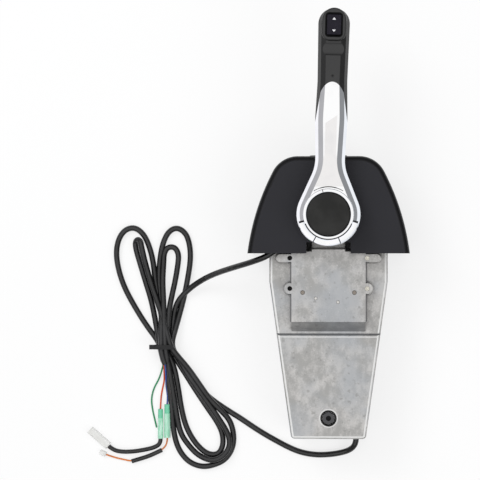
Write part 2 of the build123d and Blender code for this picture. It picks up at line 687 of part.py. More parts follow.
with BuildPart() as cover_top_insert:
    block(
        (-INSERT_HALF, INSERT_HALF), (COVER_TOP_Y, COVER_TOP_Y + INSERT_RISE),
        (COVER_SPLIT - INSERT_DEPTH / 2, COVER_SPLIT + INSERT_DEPTH / 2),
    )
    fillet(cover_top_insert.edges().filter_by(Axis.Y), INSERT_DEPTH / 5)
    fillet(cover_top_insert.faces().sort_by(Axis.Y)[-1].edges(), INSERT_RISE / 2)
save(cover_top_insert.part, "cover_top_insert")

# Housing: tapered casting with a raised plate, bolt ears, bearing boss and the seats of what it holds

with BuildPart() as housing_body:
    extrude(housing_outline(level(HOUSING_BACK), 0), amount=HOUSING_FRONT - HOUSING_BACK)
    fillet(housing_body.faces().sort_by(Axis.Z)[-1].edges(), HOUSING_EDGE_R)
    with BuildSketch(level(HOUSING_FRONT - HOUSING_EDGE_R), mode=Mode.PRIVATE) as lower:
        with BuildLine():
            Polyline(
                (half_width(STEP_Y), STEP_Y), (FOOT_HALF, FOOT_Y), (-FOOT_HALF, FOOT_Y),
                (-half_width(STEP_Y), STEP_Y), close=True,
            )
        make_face()
        fillet(lower.vertices().group_by(Axis.Y)[0], FOOT_CORNER_R)
    extrude(lower.sketch, amount=LOWER_FRONT - HOUSING_FRONT + HOUSING_EDGE_R)
    fillet(housing_body.faces().sort_by(Axis.Z)[-1].edges().sort_by(Axis.Y)[:-1], HOUSING_EDGE_R)
    with BuildSketch(Plane.YZ, mode=Mode.PRIVATE) as step_bevel:
        with BuildLine():
            Polyline(
                (STEP_Y, LOWER_FRONT), (STEP_Y - STEP_BEVEL, LOWER_FRONT), (STEP_Y, HOUSING_FRONT), close=True
            )
        make_face()
    extrude(step_bevel.sketch, amount=HOUSING_HALF, both=True, mode=Mode.SUBTRACT)
    with BuildSketch(level(CAVITY_FRONT), mode=Mode.PRIVATE) as pad:
        with Locations((0, (PAD_TOP_Y + PAD_FOOT_Y) / 2)):
            Rectangle(2 * PAD_HALF, PAD_TOP_Y - PAD_FOOT_Y)
        with Locations((0, PAD_TONGUE_Y)):
            Rectangle(2 * PAD_TONGUE_HALF, PAD_TONGUE_Y - PAD_FOOT_Y, align=(Align.CENTER, Align.MAX))
        with Locations((0, BOLT_MID_Y + BOLT_SPACING_Y / 2)):
            SlotCenterToCenter(2 * EAR_REACH, 2 * EAR_R)
        with Locations(*[point for point in BOLT_HOLES if point[1] < BOLT_MID_Y]):
            Circle(LOWER_EAR_R)
    extrude(pad.sketch, amount=PAD_FRONT - CAVITY_FRONT)
    pad_face = housing_body.faces().sort_by(Axis.Z)[-1]
    chamfer(pad_face.edges().sort_by(Axis.Y)[1:], PAD_BEVEL, PAD_BEVEL_DEPTH, reference=pad_face)
    with BuildSketch(Plane.YZ, mode=Mode.PRIVATE) as slope:
        with BuildLine():
            Polyline(
                (PAD_FOOT_Y, PAD_FRONT), (PAD_SLOPE_Y, HOUSING_FRONT),
                (PAD_SLOPE_Y, CAVITY_FRONT), (PAD_FOOT_Y, CAVITY_FRONT), close=True,
            )
        make_face()
    extrude(slope.sketch, amount=PAD_HALF - PAD_BEVEL, both=True)
    rounds(level(CAVITY_FRONT), [(0, 0)], BEARING_BOSS_R, BEARING_TOP - CAVITY_FRONT)
    # Hollow inside
    extrude(
        housing_outline(level(HOUSING_BACK), HOUSING_WALL), amount=CAVITY_FRONT - HOUSING_BACK,
        mode=Mode.SUBTRACT
    )
    block(
        (-POCKET_HALF, POCKET_HALF), (POCKET_FOOT_Y, POCKET_TOP_Y), (CAVITY_FRONT, POCKET_TOP_Z),
        Mode.SUBTRACT
    )
    # Posts and seats
    rounds(level(HOUSING_BACK), PLATE_POINTS, PLATE_POST_R, CAVITY_FRONT - HOUSING_BACK)
    rounds(level(HOUSING_BACK), PLATE_POINTS, PLATE_SCREW_R + SLIDE, PLATE_SCREW_L, Mode.SUBTRACT)
    rounds(level(PIVOT_FRONT_BOSS_Z), [ARM_PIVOT], PIVOT_BOSS_R, POCKET_TOP_Z - PIVOT_FRONT_BOSS_Z)
    rounds(level(PIVOT_FRONT_BOSS_Z), [ARM_PIVOT], PIVOT_PIN_R + SLIDE, PIVOT_PIN_DEPTH, Mode.SUBTRACT)
    block(
        (SWITCH_X - SWITCH_W / 2, SWITCH_FRONT_X), (-SWITCH_L / 2, SWITCH_L / 2),
        (SWITCH_Z + SWITCH_H, CAVITY_FRONT)
    )
    rounds(
        level(SWITCH_Z + SWITCH_H), [(SWITCH_X, SWITCH_SCREW_Y), (SWITCH_X, -SWITCH_SCREW_Y)],
        SWITCH_SCREW_R + SLIDE, CAVITY_FRONT - SWITCH_Z - SWITCH_H, Mode.SUBTRACT,
    )
    rounds(
        across(HEAD_R - HOUSING_WALL / 2), [(0, DETENT_MID_Z)], DETENT_BOSS_R,
        HEAD_R - HOUSING_WALL / 2 - DETENT_BOSS_Y,
    )
    rounds(across(HEAD_R + HOUSING_WALL), [(0, DETENT_MID_Z)], BALL_R + RUN, HEAD_R, Mode.SUBTRACT)
    rounds(
        across(HEAD_R + HOUSING_WALL), [(0, DETENT_MID_Z)], PLUG_R + SLIDE, HEAD_R + HOUSING_WALL - PLUG_Y,
        Mode.SUBTRACT,
    )
    block(
        (-CLAMP_PAD_HALF, CLAMP_PAD_HALF), (CLAMP_Y - CLAMP_PAD_L / 2, CLAMP_Y + CLAMP_PAD_L / 2),
        (CLAMP_PAD_Z, CAVITY_FRONT),
    )
    # Bores and openings
    rounds(level(CAVITY_FRONT), [(0, 0)], BUSH_R + SLIDE, BEARING_TOP - CAVITY_FRONT, Mode.SUBTRACT)
    rounds(level(PAD_FRONT - BOLT_DEPTH), BOLT_HOLES, BOLT_R, BOLT_DEPTH, Mode.SUBTRACT)
    rounds(level(POCKET_TOP_Z), LARGE_RIVETS, LARGE_RIVET_R + SLIDE, POCKET_ROOF, Mode.SUBTRACT)
    rounds(level(POCKET_TOP_Z), SMALL_RIVETS, SMALL_RIVET_R + SLIDE, POCKET_ROOF, Mode.SUBTRACT)
    rounds(level(CLAMP_PAD_Z), [(0, CLAMP_Y)], CLAMP_BOLT_R + SLIDE, LOWER_FRONT - CLAMP_PAD_Z, Mode.SUBTRACT)
    rounds(level(CLAMP_SEAT_Z), [(0, CLAMP_Y)], GROMMET_R + SLIDE, CLAMP_HEAD_H, Mode.SUBTRACT)
    block(
        (-WINDOW_HALF, WINDOW_HALF), (FOOT_Y - HOUSING_WALL, FOOT_Y + 2 * HOUSING_WALL),
        (WINDOW_Z, WINDOW_Z + WINDOW_H), Mode.SUBTRACT,
    )
    rounds(
        across(FOOT_Y + 2 * HOUSING_WALL), [(GROMMET_X, GROMMET_Z)], LEAD_GROMMET_R + SLIDE, 3 * HOUSING_WALL,
        Mode.SUBTRACT,
    )
save(housing_body.part, "housing_body")

with BuildPart() as back_plate:
    extrude(housing_outline(level(BACK_PLATE_Z), 0), amount=BACK_PLATE_T)
    rounds(level(HOUSING_BACK), [(0, 0)], REAR_BOSS_R, REAR_BUSH_TOP - HOUSING_BACK)
    rounds(level(REAR_BUSH_Z), [(0, 0)], BUSH_R + SLIDE, REAR_BUSH_TOP - REAR_BUSH_Z, Mode.SUBTRACT)
    rounds(level(HOUSING_BACK), [ARM_PIVOT], PIVOT_BOSS_R, PIVOT_REAR_BOSS_H)
    rounds(
        level(PIVOT_REAR_Z - PIVOT_PIN_DEPTH), [ARM_PIVOT], PIVOT_PIN_R + SLIDE, PIVOT_PIN_DEPTH,
        Mode.SUBTRACT
    )
    rounds(level(BACK_PLATE_Z), PLATE_POINTS, PLATE_SCREW_R + SLIDE, BACK_PLATE_T, Mode.SUBTRACT)
save(back_plate.part, "back_plate")

with BuildPart() as back_plate_screws:
    rounds(level(0), PLATE_POINTS, PLATE_SCREW_HEAD_R, BACK_PLATE_Z)
    rounds(level(BACK_PLATE_Z), PLATE_POINTS, PLATE_SCREW_R, PLATE_SCREW_L)
save(back_plate_screws.part, "back_plate_screws")

with BuildPart() as front_bush:
    rounds(level(FRONT_FLANGE_Z), [(0, 0)], BUSH_FLANGE_R, BUSH_FLANGE_T)
    rounds(level(CAVITY_FRONT), [(0, 0)], BUSH_R, BEARING_TOP - CAVITY_FRONT)
    rounds(level(FRONT_FLANGE_Z), [(0, 0)], SHAFT_R + RUN, BEARING_TOP - FRONT_FLANGE_Z, Mode.SUBTRACT)
save(front_bush.part, "front_bush")

with BuildPart() as rear_bush:
    rounds(level(REAR_BUSH_Z), [(0, 0)], BUSH_R, REAR_BUSH_TOP - REAR_BUSH_Z)
    rounds(level(REAR_BUSH_TOP), [(0, 0)], BUSH_FLANGE_R, BUSH_FLANGE_T)
    rounds(
        level(REAR_BUSH_Z), [(0, 0)], SHAFT_R + RUN, REAR_BUSH_TOP + BUSH_FLANGE_T - REAR_BUSH_Z,
        Mode.SUBTRACT
    )
save(rear_bush.part, "rear_bush")

with BuildPart() as inner_bracket:
    block(
        (-BRACKET_HALF, BRACKET_HALF), (BRACKET_FOOT_Y, BRACKET_TOP_Y),
        (POCKET_TOP_Z - BRACKET_T, POCKET_TOP_Z)
    )
    fillet(inner_bracket.edges().filter_by(Axis.Z), BRACKET_T)
    rounds(level(POCKET_TOP_Z - BRACKET_T), [ARM_PIVOT], PIVOT_BOSS_R + AIR, BRACKET_T, Mode.SUBTRACT)
    rounds(level(POCKET_TOP_Z - BRACKET_T), LARGE_RIVETS, LARGE_RIVET_R + SLIDE, BRACKET_T, Mode.SUBTRACT)
    rounds(level(POCKET_TOP_Z - BRACKET_T), SMALL_RIVETS, SMALL_RIVET_R + SLIDE, BRACKET_T, Mode.SUBTRACT)
save(inner_bracket.part, "inner_bracket")

with BuildPart() as bracket_rivets:
    rivet_back = POCKET_TOP_Z - BRACKET_T - RIVET_STAND
    rounds(level(rivet_back), LARGE_RIVETS, LARGE_RIVET_R, PAD_FRONT + RIVET_STAND - rivet_back)
    rounds(level(rivet_back), SMALL_RIVETS, SMALL_RIVET_R, PAD_FRONT + RIVET_STAND - rivet_back)
    chamfer(bracket_rivets.faces().filter_by(Axis.Z).group_by(Axis.Z)[-1].edges(), RIVET_STAND)
save(bracket_rivets.part, "bracket_rivets")

# Cable clamp: bolt from the front through its rubber bush, bar behind the cables

with BuildPart() as clamp_bolt:
    with BuildSketch(level(CLAMP_SEAT_Z)):
        with Locations((0, CLAMP_Y)):
            RegularPolygon(CLAMP_HEAD_R, 6, rotation=30)
    extrude(amount=CLAMP_HEAD_H)
    rounds(
        level(LOWER_FRONT - CLAMP_SOCKET_DEPTH), [(0, CLAMP_Y)], CLAMP_SOCKET_R, CLAMP_SOCKET_DEPTH,
        Mode.SUBTRACT
    )
    bolt_end = CLAMP_BAR_Z - CLAMP_BOLT_PROUD
    rounds(level(bolt_end), [(0, CLAMP_Y)], CLAMP_BOLT_R, CLAMP_SEAT_Z - bolt_end)
save(clamp_bolt.part, "clamp_bolt")

with BuildPart() as clamp_grommet:
    rounds(level(CLAMP_SEAT_Z), [(0, CLAMP_Y)], GROMMET_R, CLAMP_HEAD_H + GROMMET_PROUD)
    rounds(level(CLAMP_SEAT_Z), [(0, CLAMP_Y)], GROMMET_INNER_R, CLAMP_HEAD_H + GROMMET_PROUD, Mode.SUBTRACT)
    fillet(clamp_grommet.faces().sort_by(Axis.Z)[-1].edges(), GROMMET_PROUD)
save(clamp_grommet.part, "clamp_grommet")

with BuildPart() as cable_clamp:
    block(
        (-CLAMP_PAD_HALF, CLAMP_PAD_HALF), (CLAMP_Y - CLAMP_PAD_L / 2, CLAMP_Y + CLAMP_PAD_L / 2),
        (CLAMP_BAR_Z, CLAMP_BAR_Z + CLAMP_BAR_T),
    )
    fillet(cable_clamp.edges().filter_by(Axis.Z), CLAMP_BAR_T / 2)
    rounds(level(CLAMP_BAR_Z), [(0, CLAMP_Y)], CLAMP_BOLT_R + SLIDE, CLAMP_BAR_T, Mode.SUBTRACT)
save(cable_clamp.part, "cable_clamp")

# Shaft train: shaft, washer, the two driving gears, detent plate with the neutral cam, circlip

with BuildPart() as main_shaft:
    rounds(level(SHAFT_BACK), [(0, 0)], SHAFT_R, WELL_FLOOR - SHAFT_BACK)
    for flat_back, flat_front in ((THROTTLE_HUB_Z, CIRCLIP_Z), (HUB_BACK, WELL_FLOOR)):
        with BuildSketch(lever_level(flat_back), mode=Mode.PRIVATE) as flat:
            with Locations((SHAFT_FLAT, 0)):
                Rectangle(SHAFT_R, 2 * SHAFT_R, align=(Align.MIN, Align.CENTER))
        extrude(flat.sketch, amount=flat_front - flat_back, mode=Mode.SUBTRACT)
    rounds(
        level(WELL_FLOOR - LEVER_BOLT_L), [(0, 0)], LEVER_BOLT_R + SLIDE, LEVER_BOLT_L, Mode.SUBTRACT
    )
save(main_shaft.part, "main_shaft")

with BuildPart() as thrust_washer:
    rounds(level(WASHER_Z), [(0, 0)], WASHER_R, WASHER_T)
    rounds(level(WASHER_Z), [(0, 0)], SHAFT_R + SLIDE, WASHER_T, Mode.SUBTRACT)
save(thrust_washer.part, "thrust_washer")

with BuildPart() as throttle_drive_gear:
    extrude(full_gear(level(THROTTLE_RIM_Z), THROTTLE_DRIVE_TEETH), amount=GEAR_FACE)
    rounds(level(THROTTLE_HUB_Z), [(0, 0)], GEAR_HUB_R, THROTTLE_HUB_L)
    shaft_bore(lever_level(THROTTLE_HUB_Z), THROTTLE_HUB_L)
save(throttle_drive_gear.part, "throttle_drive_gear")

with BuildPart() as shift_drive_gear:
    extrude(full_gear(level(SHIFT_RIM_Z), SHIFT_DRIVE_TEETH), amount=GEAR_FACE)
    rounds(level(SHIFT_HUB_Z), [(0, 0)], GEAR_HUB_R, SHIFT_HUB_L)
    shaft_bore(lever_level(SHIFT_HUB_Z), SHIFT_HUB_L)
save(shift_drive_gear.part, "shift_drive_gear")

with BuildPart() as detent_plate:
    rounds(level(DETENT_HUB_Z), [(0, 0)], GEAR_HUB_R, CIRCLIP_Z - DETENT_HUB_Z)
    rounds(level(DETENT_Z), [(0, 0)], DETENT_R, DETENT_T)
    notches = [
        (DETENT_R * cos(radians(90 + turn)), DETENT_R * sin(radians(90 + turn)))
        for turn in (-DETENT_STEP, 0, DETENT_STEP)
    ]
    rounds(level(DETENT_Z), notches, DETENT_NOTCH_R, DETENT_T, Mode.SUBTRACT)
    rounds(level(CAM_Z), [(0, 0)], CAM_R, CAM_T)
    block((-CAM_LOBE_R, -GEAR_HUB_R), (-CAM_LOBE_HALF, CAM_LOBE_HALF), (CAM_Z, CAM_Z + CAM_T))
    shaft_bore(lever_level(DETENT_HUB_Z), CIRCLIP_Z - DETENT_HUB_Z)
save(detent_plate.part, "detent_plate")

with BuildPart() as shaft_circlip:
    rounds(level(CIRCLIP_Z), [(0, 0)], CIRCLIP_R, CIRCLIP_T)
    rounds(level(CIRCLIP_Z), [(0, 0)], SHAFT_R + SLIDE, CIRCLIP_T, Mode.SUBTRACT)
    block(
        (-CIRCLIP_GAP_HALF, CIRCLIP_GAP_HALF), (-2 * CIRCLIP_R, 0), (CIRCLIP_Z, CIRCLIP_Z + CIRCLIP_T),
        Mode.SUBTRACT
    )
save(shaft_circlip.part, "shaft_circlip")

# Cable arms: two toothed sectors on one pin, each with an arm and a pin for its cable end

with BuildPart() as arm_pivot_pin:
    rounds(
        level(PIVOT_REAR_Z - PIVOT_PIN_DEPTH), [ARM_PIVOT], PIVOT_PIN_R,
        PIVOT_FRONT_BOSS_Z - PIVOT_REAR_Z + 2 * PIVOT_PIN_DEPTH,
    )
save(arm_pivot_pin.part, "arm_pivot_pin")

arm_plane = Plane(origin=(0, ARM_PIVOT_Y, 0))
throttle_hub_back = PIVOT_REAR_Z + AIR


def cable_arm(rim_z, hub_back, hub_front, teeth, side):
    """Sector, hub and arm of one cable, in the open part."""
    extrude(sector_gear(arm_plane.offset(rim_z), teeth, side), amount=GEAR_FACE)
    rounds(level(hub_back), [ARM_PIVOT], SECTOR_HUB_R, hub_front - hub_back)
    with BuildSketch(arm_plane.offset(rim_z), mode=Mode.PRIVATE) as arm:
        with Locations((0, -ARM_LENGTH / 2)):
            SlotCenterToCenter(ARM_LENGTH, 2 * ARM_END_R, rotation=90)
    extrude(arm.sketch, amount=GEAR_FACE)
    rounds(level(hub_back), [ARM_PIVOT], PIVOT_PIN_R + RUN, hub_front - hub_back, Mode.SUBTRACT)
    rounds(
        level(rim_z), [(0, ARM_PIVOT_Y - ARM_LENGTH)], CABLE_PIN_R + SLIDE, GEAR_FACE, Mode.SUBTRACT
    )


with BuildPart() as throttle_sector:
    cable_arm(
        THROTTLE_RIM_Z, throttle_hub_back, SECTOR_MID_Z - AIR / 2, THROTTLE_SECTOR_TEETH, THROTTLE_SECTOR_SIDE
    )
save(throttle_sector.part, "throttle_sector")

with BuildPart() as shift_sector:
    cable_arm(SHIFT_RIM_Z, SECTOR_MID_Z + AIR / 2, SHIFT_SECTOR_FRONT, SHIFT_SECTOR_TEETH, SHIFT_SECTOR_SIDE)
save(shift_sector.part, "shift_sector")

pin_spot = [(0, ARM_PIVOT_Y - ARM_LENGTH)]

with BuildPart() as throttle_cable_pin:
    rounds(level(THROTTLE_RIM_Z - CABLE_PIN_L), pin_spot, CABLE_PIN_R, CABLE_PIN_L + GEAR_FACE)
    rounds(level(THROTTLE_RIM_Z + GEAR_FACE), pin_spot, CABLE_PIN_HEAD_R, CABLE_PIN_HEAD_T)
save(throttle_cable_pin.part, "throttle_cable_pin")

with BuildPart() as shift_cable_pin:
    rounds(level(SHIFT_RIM_Z), pin_spot, CABLE_PIN_R, CABLE_PIN_L + GEAR_FACE)
    rounds(level(SHIFT_RIM_Z - CABLE_PIN_HEAD_T), pin_spot, CABLE_PIN_HEAD_R, CABLE_PIN_HEAD_T)
save(shift_cable_pin.part, "shift_cable_pin")

# Detent ball with its spring and plug, in the head of the housing

with BuildPart() as detent_ball:
    with Locations((0, BALL_Y, DETENT_MID_Z)):
        Sphere(BALL_R)
save(detent_ball.part, "detent_ball")

spring_seat_y = HEAD_R - PLUG_WALL
with BuildPart() as detent_spring:
    spring_start = BALL_Y + BALL_R + DETENT_SPRING_WIRE
    coil(
        (0, spring_start, DETENT_MID_Z), (0, 1, 0), BALL_R - 2 * DETENT_SPRING_WIRE, DETENT_SPRING_WIRE,
        DETENT_SPRING_TURNS, spring_seat_y - DETENT_SPRING_WIRE - spring_start,
    )
save(detent_spring.part, "detent_spring")

with BuildPart() as detent_plug:
    rounds(across(HEAD_R + PLUG_HEAD_RISE), [(0, DETENT_MID_Z)], PLUG_R, HEAD_R + PLUG_HEAD_RISE - PLUG_Y)
    rounds(across(spring_seat_y), [(0, DETENT_MID_Z)], BALL_R + RUN, spring_seat_y - PLUG_Y, Mode.SUBTRACT)
save(detent_plug.part, "detent_plug")

# Neutral switch: body, screws and plunger

switch_screw_spots = [(SWITCH_X, SWITCH_SCREW_Y), (SWITCH_X, -SWITCH_SCREW_Y)]
plunger_plane = Plane(origin=(SWITCH_FRONT_X, 0, PLUNGER_Z), x_dir=(0, 1, 0), z_dir=(1, 0, 0))

with BuildPart() as neutral_switch:
    block(
        (SWITCH_X - SWITCH_W / 2, SWITCH_FRONT_X), (-SWITCH_L / 2, SWITCH_L / 2),
        (SWITCH_Z, SWITCH_Z + SWITCH_H)
    )
    rounds(level(SWITCH_Z), switch_screw_spots, SWITCH_SCREW_R + SLIDE, SWITCH_H, Mode.SUBTRACT)
    rounds(plunger_plane, [(0, 0)], PLUNGER_R + RUN, -PLUNGER_BORE_DEPTH, Mode.SUBTRACT)
save(neutral_switch.part, "neutral_switch")

with BuildPart() as switch_screws:
    rounds(level(SWITCH_Z - SWITCH_SCREW_R), switch_screw_spots, 2 * SWITCH_SCREW_R, SWITCH_SCREW_R)
    rounds(level(SWITCH_Z), switch_screw_spots, SWITCH_SCREW_R, SWITCH_H + SWITCH_H / 2)
save(switch_screws.part, "switch_screws")

with BuildPart() as switch_plunger:
    plunger_length = PLUNGER_IN_BODY + PLUNGER_OUT - AIR
    rounds(plunger_plane.offset(-PLUNGER_IN_BODY), [(0, 0)], PLUNGER_R, plunger_length)
    fillet(switch_plunger.faces().sort_by(Axis.X)[-1].edges(), PLUNGER_R / 2)
save(switch_plunger.part, "switch_plunger")

# Lever: chrome arm with its hub, bezel, bolt and seal

with BuildPart() as lever_arm:
    rounds(level(HUB_BACK), [(0, 0)], HUB_R, LEVER_FRONT - OUTER_BEVEL_DEPTH - HUB_BACK)
    fillet(lever_arm.faces().sort_by(Axis.Z)[0].edges(), HUB_BACK_R)
    add(lever_blank())
    extrude(chrome_shape(lever_level(HUB_BACK)), amount=LEVER_FRONT - HUB_BACK, mode=Mode.INTERSECT)
    rounds(level(WELL_FLOOR), [(0, 0)], WELL_R, BEZEL_FRONT - WELL_FLOOR, Mode.SUBTRACT)
    rounds(level(BEZEL_SEAT), [(0, 0)], BEZEL_R + SLIDE, BEZEL_FRONT - BEZEL_SEAT, Mode.SUBTRACT)
    shaft_bore(lever_level(HUB_BACK), WELL_FLOOR - HUB_BACK)
    rounds(
        lever_level(ARM_BACK), [(0, GRIP_SCREWS_Y[0])], GRIP_SCREW_R + SLIDE, GRIP_SCREW_TIP - ARM_BACK,
        Mode.SUBTRACT
    )
save(lever_arm.part, "lever_arm")

with BuildPart() as hub_bezel:
    rounds(level(BEZEL_SEAT), [(0, 0)], BEZEL_R, BEZEL_FRONT - BEZEL_SEAT)
    rounds(level(BEZEL_SEAT), [(0, 0)], BEZEL_INNER_R, BEZEL_FRONT - BEZEL_SEAT, Mode.SUBTRACT)
    fillet(hub_bezel.faces().sort_by(Axis.Z)[-1].edges(), BEZEL_EDGE_R)
save(hub_bezel.part, "hub_bezel")

with BuildPart() as bolt_washer:
    rounds(level(WELL_FLOOR), [(0, 0)], BOLT_WASHER_R, BOLT_WASHER_T)
    rounds(level(WELL_FLOOR), [(0, 0)], LEVER_BOLT_R + SLIDE, BOLT_WASHER_T, Mode.SUBTRACT)
save(bolt_washer.part, "bolt_washer")

with BuildPart() as lever_bolt:
    with BuildSketch(level(WELL_FLOOR + BOLT_WASHER_T)):
        RegularPolygon(BOLT_HEAD_AF / 2, 6, major_radius=False)
    extrude(amount=BOLT_HEAD_H)
    rounds(
        level(WELL_FLOOR - LEVER_BOLT_L), [(0, 0)], LEVER_BOLT_R, LEVER_BOLT_L + BOLT_WASHER_T
    )
save(lever_bolt.part, "lever_bolt")

with BuildPart() as hub_seal:
    seal_back = COVER_DEPTH + AIR
    rounds(level(seal_back), [(0, 0)], SEAL_R, HUB_BACK - seal_back)
    rounds(level(seal_back), [(0, 0)], SEAL_INNER_R, HUB_BACK - seal_back, Mode.SUBTRACT)
save(hub_seal.part, "hub_seal")

# Push button and its spring

with BuildPart() as throttle_button:
    rounds(level(BUTTON_SKIRT_BACK), [(0, 0)], BUTTON_R, BUTTON_FRONT - BUTTON_SKIRT_BACK)
    fillet(throttle_button.faces().sort_by(Axis.Z)[-1].edges(), BUTTON_EDGE_R)
    rounds(level(BUTTON_SKIRT_BACK), [(0, 0)], BUTTON_LIP_R, BEZEL_SEAT - AIR - BUTTON_SKIRT_BACK)
    rounds(
        level(BUTTON_SKIRT_BACK), [(0, 0)], BUTTON_R - BUTTON_WALL, BUTTON_INNER - BUTTON_SKIRT_BACK,
        Mode.SUBTRACT
    )
save(throttle_button.part, "throttle_button")

with BuildPart() as button_spring:
    spring_back = WELL_FLOOR + BOLT_WASHER_T + BUTTON_SPRING_WIRE
    coil(
        (0, 0, spring_back), (0, 0, 1), BUTTON_SPRING_R, BUTTON_SPRING_WIRE, BUTTON_SPRING_TURNS,
        BUTTON_INNER - BUTTON_SPRING_WIRE - spring_back,
    )
save(button_spring.part, "button_spring")

# Grip: front with the switch head, back shell and screws

grip_screw_spots = [(0, y) for y in GRIP_SCREWS_Y]

with BuildPart() as grip_body:
    add(lever_blank())
    extrude(chrome_shape(lever_level(ARM_BACK)), amount=LEVER_FRONT - ARM_BACK, mode=Mode.SUBTRACT)
    with BuildSketch(lever_level(LEVER_FRONT - OUTER_BEVEL_DEPTH), mode=Mode.PRIVATE) as head_pad:
        with Locations((0, HEAD_PAD_FOOT_Y)):
            Rectangle(
                2 * HEAD_PAD_HALF, HEAD_PAD_TIP_Y - HEAD_PAD_HALF - HEAD_PAD_FOOT_Y,
                align=(Align.CENTER, Align.MIN)
            )
        with Locations((0, HEAD_PAD_TIP_Y - HEAD_PAD_HALF)):
            Circle(HEAD_PAD_HALF)
        fillet(head_pad.vertices().group_by(Axis.Y)[0], HEAD_PAD_FOOT_R)
    extrude(head_pad.sketch, amount=HEAD_PAD_RISE + OUTER_BEVEL_DEPTH)
    fillet(grip_body.faces().sort_by(Axis.Z)[-1].edges(), HEAD_PAD_EDGE_R)
    with BuildSketch(lever_side(), mode=Mode.PRIVATE) as neck:
        with Locations((NECK_Y, LEVER_FRONT + NECK_R - NECK_DEPTH)):
            Circle(NECK_R)
        with Locations((HEAD_PAD_FOOT_Y, 0)):
            Rectangle(NECK_R * 2, 4 * LEVER_FRONT, align=(Align.MAX, Align.CENTER), mode=Mode.INTERSECT)
    extrude(neck.sketch, amount=2 * GRIP_END_HALF, both=True, mode=Mode.SUBTRACT)
    rounds(
        lever_level(LEVER_FRONT - DIMPLE_DEPTH), [(0, DIMPLE_Y)], DIMPLE_R, DIMPLE_DEPTH, Mode.SUBTRACT
    )
    with BuildSketch(lever_level(RECESS_FLOOR), mode=Mode.PRIVATE) as recess:
        with Locations((0, SWITCH_Y)):
            RectangleRounded(RECESS_W, RECESS_L, RECESS_R)
    extrude(recess.sketch, amount=HEAD_PAD_FRONT - RECESS_FLOOR, mode=Mode.SUBTRACT)
    rounds(
        lever_level(ARM_BACK), [(0, GRIP_SCREWS_Y[1])], GRIP_SCREW_R + SLIDE, GRIP_SCREW_TIP - ARM_BACK,
        Mode.SUBTRACT
    )
save(grip_body.part, "grip_body")

with BuildPart() as grip_back:
    with BuildSketch(lever_level(GRIP_BACK), mode=Mode.PRIVATE) as back_shape:
        end_y = LEVER_TIP_Y - GRIP_END_HALF
        with BuildLine():
            back_side = FilletPolyline(
                (ARM_WAIST_HALF, GRIP_BACK_FOOT_Y), (ARM_SWELL_HALF, ARM_SWELL_Y),
                (GRIP_WAIST_HALF, GRIP_WAIST_Y),
                (GRIP_END_HALF, end_y), radius=SIDE_R,
            )
            mirror(back_side, about=Plane.YZ)
            ThreePointArc((GRIP_END_HALF, end_y), (0, LEVER_TIP_Y), (-GRIP_END_HALF, end_y))
            Line((ARM_WAIST_HALF, GRIP_BACK_FOOT_Y), (-ARM_WAIST_HALF, GRIP_BACK_FOOT_Y))
        make_face()
        fillet(back_shape.vertices().group_by(Axis.Y)[0], ARM_WAIST_HALF / 2)
    extrude(back_shape.sketch, amount=ARM_BACK - GRIP_BACK)
    fillet(grip_back.faces().sort_by(Axis.Z)[0].edges(), GRIP_BACK_R)
    rounds(
        lever_level(GRIP_BACK), grip_screw_spots, GRIP_SCREW_R + SLIDE, ARM_BACK - GRIP_BACK, Mode.SUBTRACT
    )
    rounds(
        lever_level(GRIP_BACK), grip_screw_spots, GRIP_SCREW_HEAD_R + SLIDE, GRIP_SCREW_HEAD_H + AIR,
        Mode.SUBTRACT
    )
save(grip_back.part, "grip_back")

with BuildPart() as grip_screws:
    rounds(lever_level(GRIP_BACK + AIR), grip_screw_spots, GRIP_SCREW_HEAD_R, GRIP_SCREW_HEAD_H)
    rounds(lever_level(GRIP_BACK + AIR), grip_screw_spots, GRIP_SCREW_R, GRIP_SCREW_TIP - GRIP_BACK - AIR)
save(grip_screws.part, "grip_screws")

# Rocker switch: frame, pin and rocker

opening_w = RECESS_W - 2 * SLIDE - 2 * BEZEL_WALL
opening_l = RECESS_L - 2 * SLIDE - 2 * BEZEL_WALL
rocker_w = opening_w - 2 * ROCKER_SIDE_GAP
rocker_l = opening_l - 2 * ROCKER_END_GAP
pin_plane = Plane(
    origin=(LEVER_Y[0] * SWITCH_Y, LEVER_Y[1] * SWITCH_Y, ROCKER_PIVOT_Z), x_dir=LEVER_Y, z_dir=LEVER_X
)

with BuildPart() as switch_bezel:
    with BuildSketch(lever_level(RECESS_FLOOR), mode=Mode.PRIVATE) as frame_shape:
        with Locations((0, SWITCH_Y)):
            RectangleRounded(RECESS_W - 2 * SLIDE, RECESS_L - 2 * SLIDE, RECESS_R)
    extrude(frame_shape.sketch, amount=HEAD_PAD_FRONT + BEZEL_STAND - RECESS_FLOOR)
    with BuildSketch(lever_level(RECESS_FLOOR + BEZEL_FLOOR_T), mode=Mode.PRIVATE) as opening:
        with Locations((0, SWITCH_Y)):
            RectangleRounded(opening_w, opening_l, RECESS_R - BEZEL_WALL)
    extrude(opening.sketch, amount=HEAD_PAD_FRONT - RECESS_FLOOR, mode=Mode.SUBTRACT)
    rounds(pin_plane.offset(-RECESS_W / 2), [(0, 0)], ROCKER_PIN_R + SLIDE, RECESS_W, Mode.SUBTRACT)
save(switch_bezel.part, "switch_bezel")

with BuildPart() as rocker_pin:
    pin_half = opening_w / 2 + BEZEL_WALL
    rounds(pin_plane.offset(-pin_half), [(0, 0)], ROCKER_PIN_R, 2 * pin_half)
save(rocker_pin.part, "rocker_pin")

